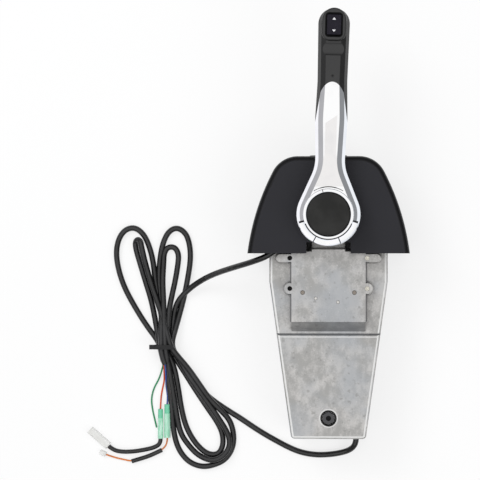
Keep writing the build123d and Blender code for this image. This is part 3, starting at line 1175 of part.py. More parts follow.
with BuildPart() as trim_rocker:
    with BuildSketch(lever_side(), mode=Mode.PRIVATE) as rocker_shape:
        low, high = SWITCH_Y - rocker_l / 2, SWITCH_Y + rocker_l / 2
        with BuildLine():
            ThreePointArc((low, ROCKER_END_Z), (SWITCH_Y, ROCKER_MID_Z), (high, ROCKER_END_Z))
            Polyline((high, ROCKER_END_Z), (high, ROCKER_PIVOT_Z), (SWITCH_Y + rocker_w / 4, ROCKER_BACK_Z))
            Line((SWITCH_Y + rocker_w / 4, ROCKER_BACK_Z), (SWITCH_Y - rocker_w / 4, ROCKER_BACK_Z))
            Polyline((SWITCH_Y - rocker_w / 4, ROCKER_BACK_Z), (low, ROCKER_PIVOT_Z), (low, ROCKER_END_Z))
        make_face()
    extrude(rocker_shape.sketch, amount=rocker_w / 2, both=True)
    fillet(trim_rocker.edges().filter_by(Axis.Z), ROCKER_EDGE_R)
    rounds(pin_plane.offset(-rocker_w / 2), [(0, 0)], ROCKER_PIN_R + RUN, rocker_w, Mode.SUBTRACT)
save(trim_rocker.part, "trim_rocker")

# Where the two leads leave: a clip on the housing's shoulder and a grommet in its foot

with BuildPart() as cover_lead_clip:
    block(
        (CLIP_X, CLIP_X + CLIP_W), (CLIP_Y - CLIP_L / 2, CLIP_Y + CLIP_L / 2),
        (HOUSING_FRONT, HOUSING_FRONT + CLIP_H)
    )
    fillet(cover_lead_clip.faces().sort_by(Axis.Z)[-1].edges().filter_by(Axis.X), CLIP_L / 4)
save(cover_lead_clip.part, "cover_lead_clip")

with BuildPart() as housing_lead_grommet:
    rounds(across(FOOT_Y + HOUSING_WALL), [(GROMMET_X, GROMMET_Z)], LEAD_GROMMET_R, HOUSING_WALL)
    rounds(across(FOOT_Y), [(GROMMET_X, GROMMET_Z)], LEAD_GROMMET_FLANGE_R, LEAD_GROMMET_FLANGE_T)
    fillet(housing_lead_grommet.faces().sort_by(Axis.Y)[0].edges(), LEAD_GROMMET_FLANGE_T / 2)
save(housing_lead_grommet.part, "housing_lead_grommet")

# Leads, thin wires and sleeved tails, each a tube along its own route

ROUTES = {
    "cover_lead": (COVER_LEAD, LEAD_R),
    "housing_lead": (HOUSING_LEAD, LEAD_R),
    "green_wire": (GREEN_WIRE, WIRE_R),
    "red_wire": (RED_WIRE, WIRE_R),
    "blue_wire": (BLUE_WIRE, WIRE_R),
    "orange_wire": (ORANGE_WIRE, WIRE_R),
    "tail_wire": (TAIL_WIRE, WIRE_R),
    "upper_tail": (UPPER_TAIL, TAIL_R),
    "lower_tail": (LOWER_TAIL, TAIL_R),
}
for route_name, (route_points, route_radius) in ROUTES.items():
    with BuildPart() as lead:
        tube(route_name, route_points, route_radius)
    save(lead.part, route_name)

# Hank of both leads, pinched by its tie

tie_x = (HANK_NECK[0] - HANK_NECK_R - TIE_T, HANK_NECK[0] + HANK_NECK_R + TIE_T)
tie_y = (HANK_NECK[1] - TIE_W / 2, HANK_NECK[1] + TIE_W / 2)
tie_z = (0, HANK_NECK_H + TIE_T)
bundle_x = (HANK_NECK[0] - HANK_NECK_R, HANK_NECK[0] + HANK_NECK_R)
bundle_z = (TIE_T, HANK_NECK_H)

with BuildPart() as harness_hank:
    for (lobe_x, lobe_y), lobe_r in HANK_LOBES:
        with BuildSketch(mode=Mode.PRIVATE) as lobe:
            with Locations(HANK_NECK):
                Circle(HANK_NECK_R)
            with Locations((lobe_x, lobe_y)):
                Circle(lobe_r)
            make_hull()
        extrude(lobe.sketch, amount=HANK_H)
    rounds(level(0), [HANK_NECK], HANK_NECK_R, HANK_NECK_H)
    block((tie_x[0] - HANK_NECK_R, tie_x[1] + HANK_NECK_R), tie_y, (0, HANK_NECK_H), Mode.SUBTRACT)
    block(bundle_x, tie_y, bundle_z)
save(harness_hank.part, "harness_hank")

with BuildPart() as cable_tie:
    block(tie_x, tie_y, tie_z)
    block(bundle_x, tie_y, bundle_z, Mode.SUBTRACT)
    block(
        (tie_x[0] - TIE_HEAD, tie_x[0]), (tie_y[0], tie_y[1]), (HANK_NECK_H - TIE_HEAD, HANK_NECK_H)
    )
save(cable_tie.part, "cable_tie")

# Far ends: bullet sleeves, a long white connector and a short one

with BuildPart() as bullet_sleeves:
    for (sleeve_x, sleeve_y), sleeve_r, sleeve_l in SLEEVES:
        rounds(across(sleeve_y), [(sleeve_x, sleeve_r)], sleeve_r - SLEEVE_CAP_STEP, SLEEVE_CAP_L)
        rounds(across(sleeve_y - SLEEVE_CAP_L), [(sleeve_x, sleeve_r)], sleeve_r, sleeve_l - SLEEVE_CAP_L)
        for end_y in (sleeve_y, sleeve_y - sleeve_l + SLEEVE_BORE_DEPTH):
            rounds(across(end_y), [(sleeve_x, sleeve_r)], SLEEVE_BORE_R, SLEEVE_BORE_DEPTH, Mode.SUBTRACT)
save(bullet_sleeves.part, "bullet_sleeves")


def connector(middle, angle, length, width, height):
    """Chamfered bar lying on the floor at an angle, in the open part."""
    with BuildSketch(mode=Mode.PRIVATE) as shape:
        with Locations(Location((*middle, 0), (0, 0, angle))):
            Rectangle(length, width)
    extrude(shape.sketch, amount=height)


with BuildPart() as block_connector:
    connector(BLOCK_MID, BLOCK_ANGLE, BLOCK_L, BLOCK_W, BLOCK_H)
    chamfer(block_connector.faces().sort_by(Axis.Z)[-1].edges(), CONNECTOR_EDGE)
save(block_connector.part, "block_connector")

with BuildPart() as pin_connector:
    connector(PIN_MID, PIN_ANGLE, PIN_L, PIN_W, PIN_H)
    chamfer(pin_connector.faces().sort_by(Axis.Z)[-1].edges(), CONNECTOR_EDGE)
save(pin_connector.part, "pin_connector")
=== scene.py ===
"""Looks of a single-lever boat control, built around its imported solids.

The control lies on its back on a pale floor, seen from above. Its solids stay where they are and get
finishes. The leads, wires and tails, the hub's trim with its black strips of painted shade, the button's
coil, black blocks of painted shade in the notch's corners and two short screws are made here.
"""

from __future__ import annotations

import json
import logging
import math
from dataclasses import dataclass
from enum import Enum
from typing import Callable, Sequence, Union

import bpy
from mathutils import Matrix, Vector

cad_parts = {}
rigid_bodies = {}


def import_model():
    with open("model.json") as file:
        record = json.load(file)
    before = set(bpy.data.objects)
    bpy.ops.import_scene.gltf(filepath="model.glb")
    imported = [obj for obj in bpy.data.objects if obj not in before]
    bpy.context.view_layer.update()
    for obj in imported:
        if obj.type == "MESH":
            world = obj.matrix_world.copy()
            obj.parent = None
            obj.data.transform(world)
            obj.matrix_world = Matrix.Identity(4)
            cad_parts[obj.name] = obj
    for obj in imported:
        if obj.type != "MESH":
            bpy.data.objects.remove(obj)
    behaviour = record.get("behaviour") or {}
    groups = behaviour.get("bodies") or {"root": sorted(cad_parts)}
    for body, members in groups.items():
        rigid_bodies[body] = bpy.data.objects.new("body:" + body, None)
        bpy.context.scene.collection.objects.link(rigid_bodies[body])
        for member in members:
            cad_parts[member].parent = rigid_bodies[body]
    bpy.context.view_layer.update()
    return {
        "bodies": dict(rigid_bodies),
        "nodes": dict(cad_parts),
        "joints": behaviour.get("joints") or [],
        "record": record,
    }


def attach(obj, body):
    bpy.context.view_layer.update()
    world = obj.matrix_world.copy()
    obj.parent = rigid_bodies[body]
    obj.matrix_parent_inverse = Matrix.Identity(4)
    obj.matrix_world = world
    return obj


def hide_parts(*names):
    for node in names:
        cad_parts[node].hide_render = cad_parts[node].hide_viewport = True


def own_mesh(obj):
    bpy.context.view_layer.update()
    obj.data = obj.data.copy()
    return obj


LOG = logging.getLogger("boat_control")
MM = 0.001
LEVER_LEAN = math.radians(-1.7)

Thing = bpy.types.Object
Pair = tuple[float, float]
Point = tuple[float, float, float]
Colour = tuple[float, float, float]
Number = Union[float, "Value"]


class Body(str, Enum):
    """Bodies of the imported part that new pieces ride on."""

    HOUSING = "housing"
    LEVER = "lever"


class Slot(str, Enum):
    """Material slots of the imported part."""

    COVER = "cover"
    CASTING = "casting"
    CHROME = "chrome"
    STEEL = "steel"
    BRONZE = "bronze"
    GRIP = "grip"
    BUTTON = "button"
    BLACK_TRIM = "black_trim"
    RUBBER = "rubber"
    LEAD_SLEEVE = "lead_sleeve"
    TIE = "tie"
    WHITE_PLASTIC = "white_plastic"
    GREEN_PLASTIC = "green_plastic"
    GREEN_INSULATION = "green_insulation"
    RED_INSULATION = "red_insulation"
    BLUE_INSULATION = "blue_insulation"
    ORANGE_INSULATION = "orange_insulation"


class FarEnd(str, Enum):
    """What a free cord ends in."""

    CONNECTOR = "connector"
    BARE = "bare"


class Lay(str, Enum):
    """How a free cord lies."""

    COILED = "coiled"
    LOOSE = "loose"


def srgb(red: int, green: int, blue: int) -> Colour:
    """Linear colour of a screen colour whose parts run from 0 to 255."""
    shares = (red / 255, green / 255, blue / 255)
    return tuple(s / 12.92 if s <= 0.04045 else ((s + 0.055) / 1.055) ** 2.4 for s in shares)


class Value:
    """A number socket that takes part in Python expressions."""

    def __init__(self, graph: Graph, socket: bpy.types.NodeSocket) -> None:
        """Wrap a socket of a node graph."""
        self.graph = graph
        self.socket = socket

    def _math(self, operation: str, first: Number, second: Number) -> Value:
        """Add a Math node for two operands."""
        made = self.graph.node("ShaderNodeMath", {"operation": operation}, {0: first, 1: second})
        return Value(self.graph, made.outputs[0])

    def __add__(self, other: Number) -> Value:
        """Sum."""
        return self._math("ADD", self, other)

    __radd__ = __add__

    def __mul__(self, other: Number) -> Value:
        """Product."""
        return self._math("MULTIPLY", self, other)

    __rmul__ = __mul__

    def __sub__(self, other: Number) -> Value:
        """Difference."""
        return self._math("SUBTRACT", self, other)

    def __rsub__(self, other: Number) -> Value:
        """Difference from a number."""
        return self._math("SUBTRACT", other, self)

    def __pow__(self, other: Number) -> Value:
        """Power."""
        return self._math("POWER", self, other)

    def __gt__(self, other: Number) -> Value:
        """One where greater, else nought."""
        return self._math("GREATER_THAN", self, other)

    def __lt__(self, other: Number) -> Value:
        """One where less, else nought."""
        return self._math("LESS_THAN", self, other)

    def __abs__(self) -> Value:
        """Size without the sign."""
        return self._math("ABSOLUTE", self, 0.0)


class Graph:
    """A node tree under construction."""

    def __init__(self, tree: bpy.types.NodeTree) -> None:
        """Empty a tree and start on it."""
        self.tree = tree
        self.tree.nodes.clear()

    def node(self, kind: str, settings: dict | None = None, inputs: dict | None = None) -> bpy.types.Node:
        """Add a node.

        Args:
            kind: The node's type.
            settings: Properties set first.
            inputs: Values or links by socket name or number.

        Returns:
            The new node.
        """
        made = self.tree.nodes.new(kind)
        for key, setting in (settings or {}).items():
            setattr(made, key, setting)
        for key, given in (inputs or {}).items():
            if isinstance(given, Value):
                given = given.socket
            if isinstance(given, bpy.types.NodeSocket):
                self.tree.links.new(given, made.inputs[key])
            else:
                made.inputs[key].default_value = given
        return made

    def part(self, vector: bpy.types.NodeSocket, name: str) -> Value:
        """One component, X, Y or Z, of a vector socket."""
        parts = self.node("ShaderNodeSeparateXYZ", None, {0: vector})
        return Value(self, parts.outputs[name])

    def band(self, value: Value, low: float, high: float) -> Value:
        """Smooth step of a value.

        Args:
            value: The value.
            low: Where the step is 0.
            high: Where the step is 1.

        Returns:
            The step.
        """
        made = self.node(
            "ShaderNodeMapRange", {"interpolation_type": "SMOOTHSTEP"},
            {0: value, "From Min": low, "From Max": high},
        )
        return Value(self, made.outputs[0])

    def mix(self, factor: Number, first: object, second: object) -> bpy.types.NodeSocket:
        """Blend two colours.

        Args:
            factor: Share of the second colour.
            first: Colour or socket at 0.
            second: Colour or socket at 1.

        Returns:
            The blended colour's socket.
        """
        ready = [(*c, 1.0) if isinstance(c, tuple) else c for c in (first, second)]
        made = self.node("ShaderNodeMix", {"data_type": "RGBA"}, {0: factor, 6: ready[0], 7: ready[1]})
        return made.outputs[2]


class Paint(Graph):
    """A material under construction."""

    def __init__(self, name: str) -> None:
        """Start an empty material.

        Args:
            name: The material's name.
        """
        self.material = bpy.data.materials.new(name)
        self.material.use_nodes = True
        super().__init__(self.material.node_tree)
        coordinates = self.node("ShaderNodeTexCoord")
        self.place = coordinates.outputs["Object"]
        self.normal = coordinates.outputs["Normal"]

    def noise(self, size: float, detail: float = 3.0, stretch: Point = (1, 1, 1)) -> Value:
        """Cloudy pattern from 0 to 1.

        Args:
            size: Typical size of a cloud in metres.
            detail: Number of finer octaves.
            stretch: Factors on the three axes.

        Returns:
            The pattern.
        """
        mapped = self.node("ShaderNodeMapping", None, {"Vector": self.place, "Scale": stretch})
        made = self.node(
            "ShaderNodeTexNoise", None, {"Vector": mapped.outputs[0], "Scale": 1 / size, "Detail": detail}
        )
        return Value(self, made.outputs["Fac"])

    def cells(self, size: float) -> Value:
        """Distance to the nearest point of a scatter, in cell sizes."""
        made = self.node("ShaderNodeTexVoronoi", None, {"Vector": self.place, "Scale": 1 / size})
        return Value(self, made.outputs["Distance"])

    def axis(self, name: str) -> Value:
        """One of the object coordinates, X, Y or Z, in metres."""
        return self.part(self.place, name)

    def facing(self, name: str) -> Value:
        """One component of the surface's own direction, X, Y or Z."""
        return self.part(self.normal, name)

    def away(self, centre: Pair) -> Value:
        """Distance from a point on X and Y, in metres."""
        return ((self.axis("X") - centre[0]) ** 2.0 + (self.axis("Y") - centre[1]) ** 2.0) ** 0.5

    def disc(self, centre: Pair, radius: float, soft: float) -> Value:
        """One within a radius of a point on X and Y, else nought, with a soft edge, in metres."""
        return self.band(self.away(centre), radius, radius - soft)

    def lever_side(self) -> Value:
        """Distance to either side of the lever's middle line, in metres."""
        return abs(self.axis("X") * math.cos(LEVER_LEAN) + self.axis("Y") * math.sin(LEVER_LEAN))

    def bump(self, height: Value, depth: float, strength: float = 1.0) -> bpy.types.NodeSocket:
        """Surface direction shaken by a pattern from 0 to 1 that is so deep in metres."""
        made = self.node("ShaderNodeBump", None, {"Height": height, "Distance": depth, "Strength": strength})
        return made.outputs[0]

    def surface(self, inputs: dict) -> bpy.types.Material:
        """Close the material with one general shader.

        Args:
            inputs: Values or links of the shader's sockets.

        Returns:
            The finished material.
        """
        shader = self.node("ShaderNodeBsdfPrincipled", None, inputs)
        self.node("ShaderNodeOutputMaterial", None, {"Surface": shader.outputs[0]})
        return self.material


@dataclass(frozen=True)
class Finish:
    """A finish that makes one material.

    Attributes:
        name: The material's name.
    """

    name: str

    def build(self) -> bpy.types.Material:
        """Make the material."""
        raise NotImplementedError


@dataclass(frozen=True)
class Plastic(Finish):
    """Moulded plastic or rubber with a faint unevenness.

    Attributes:
        colour: Linear colour.
        roughness: Middle roughness.
        grain: Size of the surface grain in metres.
        grain_depth: Depth of the grain in metres.
        see_through: Share of light that passes.
        gloss: Level of the mirror-like part.
    """

    colour: Colour
    roughness: float = 0.4
    grain: float = 0.0011
    grain_depth: float = 0.00003
    see_through: float = 0.0
    gloss: float = 0.2

    def build(self) -> bpy.types.Material:
        """Make the material.

        Returns:
            The finished material.
        """
        paint = Paint(self.name)
        clouds = paint.noise(0.022, 4)
        fine = paint.noise(self.grain, 2)
        lighter = tuple(min(1.0, c * 1.28 + 0.004) for c in self.colour)
        darker = tuple(c * 0.82 for c in self.colour)
        return paint.surface({
            "Base Color": paint.mix(paint.band(clouds, 0.3, 0.7), darker, lighter),
            "Roughness": clouds * 0.14 + (self.roughness - 0.07),
            "Transmission Weight": self.see_through,
            "Specular IOR Level": self.gloss,
            "Normal": paint.bump(fine, self.grain_depth),
        })


@dataclass(frozen=True)
class GripPlastic(Finish):
    """Glossy black grip with painted shade for a small dimple low on its front.

    Attributes:
        colour: Linear colour.
        dust: Linear colour of its slightly dusty patches.
        dimple: Middle of the dimple on X and Y in metres.
        dimple_radius: Radius of the dimple in metres.
    """

    name: str = "gloss_grip"
    colour: Colour = srgb(11, 11, 12)
    dust: Colour = srgb(19, 19, 20)
    dimple: Pair = (0.004, 0.1358)
    dimple_radius: float = 0.0022

    def build(self) -> bpy.types.Material:
        """Make the material.

        Returns:
            The finished material.
        """
        paint = Paint(self.name)
        clouds = paint.noise(0.02, 4)
        # Painted shade: a dark spot where the dimple sits.
        dimple_shade = paint.disc(self.dimple, self.dimple_radius, 0.0014) * (paint.facing("Z") > 0.9)
        tone = paint.mix(paint.band(clouds, 0.35, 0.7), self.colour, self.dust)
        return paint.surface({
            "Base Color": paint.mix(dimple_shade, tone, srgb(4, 4, 4)),
            "Roughness": clouds * 0.16 + dimple_shade * 0.4 + 0.16,
            "Specular IOR Level": 0.72,
            "Normal": paint.bump(paint.noise(0.0009, 2), 0.00002, 0.5),
        })


@dataclass(frozen=True)
class CoverPlastic(Finish):
    """Charcoal cover: finely grained faces; painted shade darkens the smoother rolled rim, painted light the
    sides.
    """

    name: str = "charcoal_cover"
    face: Colour = srgb(40, 40, 44)
    # Painted shade: colour of the rolled rim. Painted light: colour of the sides.
    rim: Colour = srgb(19, 19, 21)
    side: Colour = srgb(52, 52, 54)

    def build(self) -> bpy.types.Material:
        """Make the material.

        Returns:
            The finished material.
        """
        paint = Paint(self.name)
        up = paint.facing("Z")
        flat = paint.band(up, 0.955, 0.9995)
        # Painted light and shade: by the way they face, the rim is darkened and the sides are lightened.
        rim = paint.mix(paint.band(up, 0.5, 0.2), self.rim, self.side)
        clouds = paint.noise(0.03, 4)
        grain = paint.cells(0.0009)
        tone = paint.mix(clouds, self.face, tuple(c * 1.25 for c in self.face))
        return paint.surface({
            "Base Color": paint.mix(flat, rim, tone),
            "Roughness": flat * 0.3 + clouds * 0.08 + 0.24,
            "Specular IOR Level": 0.2,
            "Normal": paint.bump(grain * flat, 0.00005, 0.6),
        })


@dataclass(frozen=True)
class CastMetal(Finish):
    """Die-cast alloy: blotchy warm and cool greys, small stains, painted highlights on rolled edges, painted
    shade on slopes.

    Attributes:
        pale: Colour of the pale blotches.
        dull: Colour of the dull blotches.
        cool: Colour of the bluish drift.
        stain: Colour of the stains.
        slope: Colour of the painted shade round the raised plate.
        edge: Colour of the painted highlights on rolled edges and on the ring round the clamp, and of bright
            flecks.
        hole_shade: Colour of the painted shade inside the open bolt holes.
        clamp: Middle of the clamp on X and Y in metres.
        seat: Inner and outer radius of the ring round the clamp that carries a painted highlight, in metres.
        holes: Middles of the open bolt holes on X and Y in metres.
        hole: Radius of a bolt hole in metres.
        step: Y in metres where the raised plate ends and the lower part begins.
        lip: Width of the painted highlight line below the step in metres.
    """

    name: str = "die_cast_alloy"
    pale: Colour = srgb(204, 202, 200)
    dull: Colour = srgb(168, 167, 165)
    cool: Colour = srgb(172, 176, 181)
    stain: Colour = srgb(132, 131, 128)
    slope: Colour = srgb(118, 119, 122)
    edge: Colour = srgb(244, 244, 243)
    hole_shade: Colour = srgb(14, 14, 14)
    clamp: Pair = (0.0, -0.204)
    seat: Pair = (0.0079, 0.0097)
    holes: tuple[Pair, ...] = ((-0.03865, -0.0433), (-0.03865, -0.0737))
    hole: float = 0.00246
    step: float = -0.119
    lip: float = 0.0012

    def edges(self, paint: Paint) -> Value:
        """Painted highlights: rolled edges, the lip of the step and the clamp's seat are made bright as if
        lit.

        Args:
            paint: The material under construction.

        Returns:
            The mask.
        """
        up, y = paint.facing("Z"), paint.axis("Y")
        # Painted highlight on near-flat rolled edges, on the ring round the clamp and on the line below the
        # step.
        rolled = paint.band(up, 0.999, 0.97) * paint.band(up, 0.7, 0.8)
        inner, outer, soft = *self.seat, 0.0005
        outside = paint.band(paint.away(self.clamp), inner, inner + soft)
        seat = outside * paint.disc(self.clamp, outer, soft) * (up > 0.9)
        low = self.step - 0.003
        lip = paint.band(y, low - self.lip, low - self.lip / 2) * (y < low) * (up > 0.99)
        return rolled * 0.85 + seat * 0.5 + lip * 0.6

    def slopes(self, paint: Paint) -> Value:
        """Painted shade where the metal turns away: under the raised plate, along its flanks and at the
        step.

        Args:
            paint: The material under construction.

        Returns:
            The mask.
        """
        up, lean = paint.facing("Z"), paint.facing("Y")
        above = paint.axis("Y") > self.step
        streaks = paint.noise(0.008, 4, (0.6, 1.6, 1.0))
        # Painted shade: faces turned down, the plate's flanks and the step's ledge are darkened.
        under = paint.band(lean, -0.5, -0.6) * above * (up > 0.4) * (streaks * 0.65)
        across = abs(paint.axis("X"))
        beside = (across > 0.03) * (across < 0.0405)
        flank = paint.band(up, 0.48, 0.38) * paint.band(up, 0.1, 0.2) * above * beside
        ledge = paint.band(lean, 0.3, 0.45) * (1.0 - above) * (up > 0.3)
        return under + flank * 0.75 + ledge * 0.85

    def build(self) -> bpy.types.Material:
        """Make the material.

        Returns:
            The finished material.
        """
        paint = Paint(self.name)
        broad = paint.noise(0.026, 5)
        drift = paint.noise(0.05, 3)
        flow = paint.noise(0.006, 5, (1.0, 0.55, 1.0))
        fine = paint.noise(0.0014, 3)
        spots = paint.band(paint.noise(0.005, 5), 0.6, 0.7)
        flecks = paint.band(paint.cells(0.0042), 0.12, 0.05)
        edges, slopes = self.edges(paint), self.slopes(paint)
        # Painted shade: the insides of the open bolt holes are coloured nearly black.
        hole_shades = sum(paint.disc(spot, self.hole, 0.0001) for spot in self.holes)
        tone = paint.mix(paint.band(broad * 0.4 + flow * 0.4 + fine * 0.2, 0.4, 0.6), self.dull, self.pale)
        tinted = paint.mix(paint.band(drift, 0.42, 0.66) * 0.7, tone, self.cool)
        stained = paint.mix(spots * 0.45, tinted, self.stain)
        flecked = paint.mix(flecks * 0.35, stained, self.edge)
        # Painted shade on the faces that turn away from above.
        shaded = paint.mix(slopes, flecked, self.slope)
        # Painted highlights on the edges, in the bright edge colour.
        highlighted = paint.mix(edges, shaded, self.edge)
        return paint.surface({
            "Base Color": paint.mix(hole_shades, highlighted, self.hole_shade),
            "Metallic": (0.5 - edges * 0.35) * (1.0 - hole_shades),
            "Roughness": broad * 0.18 + flow * 0.14 + 0.3,
            "Normal": paint.bump(fine * 0.5 + flow * 0.5, 0.0001, 0.55),
        })


@dataclass(frozen=True)
class Metal(Finish):
    """Plated or turned metal.

    Attributes:
        colour: Linear colour.
        roughness: Middle roughness.
        streak: Depth of fine turning marks in metres.
    """

    colour: Colour
    roughness: float
    streak: float = 0.000004

    def build(self) -> bpy.types.Material:
        """Make the material.

        Returns:
            The finished material.
        """
        paint = Paint(self.name)
        smears = paint.noise(0.03, 4)
        lines = paint.noise(0.0008, 2, (1.0, 0.15, 1.0))
        return paint.surface({
            "Base Color": paint.mix(smears, tuple(c * 0.9 for c in self.colour), self.colour),
            "Metallic": 1.0,
            "Roughness": smears * (0.6 * self.roughness) + 0.7 * self.roughness,
            "Normal": paint.bump(lines, self.streak, 0.5),
        })


@dataclass(frozen=True)
class SpotMetal(Finish):
    """Turned metal that changes tone inside a distance from a point.

    Attributes:
        inside: Linear colour near the middle.
        outside: Linear colour farther out.
        middle: Middle on X and Y in metres.
        reach: Distance of the change in metres.
        roughness: Middle roughness.
    """

    inside: Colour
    outside: Colour
    middle: Pair
    reach: float
    roughness: float = 0.3

    def build(self) -> bpy.types.Material:
        """Make the material.

        Returns:
            The finished material.
        """
        paint = Paint(self.name)
        near = paint.disc(self.middle, self.reach, 0.0002)
        smears = paint.noise(0.002, 3)
        tone = paint.mix(near, self.outside, self.inside)
        return paint.surface({
            "Base Color": paint.mix(smears * 0.4, tone, tuple(c * 0.5 for c in self.outside)),
            "Metallic": 0.9,
            "Roughness": smears * 0.2 + (self.roughness - 0.1),
        })


@dataclass(frozen=True)
class Chrome(Finish):
    """Polished chrome: painted reflections grey the front below a slanting line and tint the bevels; dark
    tips by the grip.

    Attributes:
        clear: Linear colour of the clear part.
        grey: Linear colour of the front where a painted reflection darkens it.
        left: Linear tint of the bevels that face left, a painted reflection.
        right: Linear tint of the bevels that face right, a painted reflection.
        tip: Linear colour of the dark tips.
        line: Y in metres where the front's change crosses the middle of the arm.
        slant: Rise of that line across the arm.
        edge: Distances from the arm's middle in metres between which the front turns clear.
        flare: Y in metres below which the arm widens.
        hub: Y in metres of the hub's top joint.
        half: Half width of the arm beside the grip in metres.
        tip_end: Y in metres where the dark tips run out at the arm's sides.
        taper: Growth of the dark tips' width per metre up the arm.
    """

    name: str = "bright_chrome"
    clear: Colour = (0.98, 0.98, 0.985)
    grey: Colour = (0.86, 0.845, 0.84)
    left: Colour = (0.95, 0.95, 0.995)
    right: Colour = (0.88, 0.91, 0.96)
    tip: Colour = srgb(26, 26, 27)
    line: float = 0.0915
    slant: float = 0.645
    edge: Pair = (0.0048, 0.0066)
    flare: float = 0.058
    hub: float = 0.0272
    half: float = 0.0152
    tip_end: float = 0.095
    taper: float = 0.16

    def build(self) -> bpy.types.Material:
        """Make the material.

        Returns:
            The finished material.
        """
        paint = Paint(self.name)
        up, x, y = paint.facing("Z"), paint.axis("X"), paint.axis("Y")
        smears = paint.noise(0.02, 4)
        # Painted reflection: the front is greyer below a slanting line and stays clear along the arm's
        # edges.
        over = y - x * self.slant - self.line
        side = paint.lever_side()
        flare = (self.flare - y) * (y < self.flare) * 0.4
        dull = (1.0 - paint.band(over, -0.0006, 0.0006)) * (1.0 - paint.band(side - flare, *self.edge))
        front = paint.mix(dull * (y > self.hub), self.clear, self.grey)
        # Painted reflection: the bevels facing left and right get different tints.
        bevel = paint.mix(paint.facing("X") > 0.0, self.left, self.right)
        tone = paint.mix(up > 0.99, bevel, front)
        smeared = paint.mix(paint.band(smears, 0.45, 0.7) * 0.12, tone, srgb(190, 192, 200))
        reach = side + (y - self.tip_end) * self.taper
        tips = paint.band(reach, self.half - 0.0002, self.half + 0.0002) * (y > self.tip_end - 0.005)
        return paint.surface({
            "Base Color": paint.mix(tips, smeared, self.tip),
            "Metallic": 1.0 - tips,
            "Roughness": smears * 0.05 + 0.03,
            "Normal": paint.bump(paint.noise(0.004, 2), 0.000006, 0.5),
        })


@dataclass(frozen=True)
class Insulation(Finish):
    """Smooth wire insulation with slightly dulled patches."""

    colour: Colour

    def build(self) -> bpy.types.Material:
        """Make the material.

        Returns:
            The finished material.
        """
        paint = Paint(self.name)
        patches = paint.noise(0.006, 3)
        dulled = tuple(0.75 * c + 0.03 for c in self.colour)
        return paint.surface({
            "Base Color": paint.mix(paint.band(patches, 0.4, 0.7), self.colour, dulled),
            "Roughness": patches * 0.2 + 0.25,
        })


@dataclass(frozen=True)
class BulletPlastic(Finish):
    """Soft sleeves of two tones: a teal cap at the top and a pale, slightly clear body.

    Attributes:
        cap: Colour of the caps.
        body: Colour of the bodies.
        divide: X between the two sleeves in metres.
        cap_ends: Y where the left and the right cap end, in metres.
    """

    name: str = "bullet_sleeves"
    cap: Colour = srgb(124, 214, 176)
    body: Colour = srgb(208, 246, 228)
    divide: float = -0.171
    cap_ends: Pair = (-0.2104, -0.2054)

    def build(self) -> bpy.types.Material:
        """Make the material.

        Returns:
            The finished material.
        """
        paint = Paint(self.name)
        clouds = paint.noise(0.003, 3, (1.6, 0.25, 1.0))
        right = paint.axis("X") > self.divide
        end = right * (self.cap_ends[1] - self.cap_ends[0]) + self.cap_ends[0]
        cap = (paint.axis("Y") - end) > 0.0
        body = paint.mix(paint.band(clouds, 0.35, 0.65), self.body, srgb(158, 226, 192))
        return paint.surface({
            "Base Color": paint.mix(cap, body, self.cap),
            "Roughness": clouds * 0.2 + 0.22,
            "Transmission Weight": 0.12,
            "Specular IOR Level": 0.4,
        })


@dataclass(frozen=True)
class RockerPlastic(Finish):
    """Black rocker, finely speckled, with one small plain arrow at each end.

    Attributes:
        colour: Colour of the rocker.
        mark: Colour of the arrows.
        middle: Distance of the rocker's middle up the lever, in metres.
        base: Distance of each arrow's base from the middle, in metres.
        height: Height of each arrow in metres.
        half: Half width of each arrow's base in metres.
    """

    name: str = "speckled_rocker"
    colour: Colour = srgb(30, 28, 36)
    mark: Colour = srgb(225, 225, 228)
    middle: float = 0.1855
    base: float = 0.0048
    height: float = 0.0024
    half: float = 0.0018

    def build(self) -> bpy.types.Material:
        """Make the material.

        Returns:
            The finished material.
        """
        paint = Paint(self.name)
        x, y = paint.axis("X"), paint.axis("Y")
        along = abs(y * math.cos(LEVER_LEAN) - x * math.sin(LEVER_LEAN) - self.middle)
        rise = (along - self.base) * (1 / self.height)
        within = (paint.lever_side() * (1 / self.half)) < (1.0 - rise)
        arrow = (rise > 0.0) * within * (paint.facing("Z") > 0.5)
        speckle = paint.band(paint.noise(0.0007, 2), 0.56, 0.7)
        tone = paint.mix(speckle, self.colour, tuple(c * 3.0 for c in self.colour))
        return paint.surface({
            "Base Color": paint.mix(arrow, tone, self.mark),
            "Roughness": speckle * 0.2 + 0.34,
            "Specular IOR Level": 0.12,
            "Normal": paint.bump(speckle, 0.00004, 0.5),
        })


@dataclass(frozen=True)
class Sleeving(Finish):
    """Thin black sleeving over a bundle of wires: glossy, creased across its run."""

    name: str = "black_sleeving"
    colour: Colour = srgb(20, 20, 21)
    dusty: Colour = srgb(36, 36, 38)

    def build(self) -> bpy.types.Material:
        """Make the material.

        Returns:
            The finished material.
        """
        paint = Paint(self.name)
        creases = paint.noise(0.006, 3)
        dust = paint.noise(0.02, 4)
        return paint.surface({
            "Base Color": paint.mix(paint.band(dust, 0.4, 0.75), self.colour, self.dusty),
            "Roughness": dust * 0.16 + 0.14,
            "Specular IOR Level": 0.6,
            "Normal": paint.bump(creases, 0.0008, 0.6),
        })


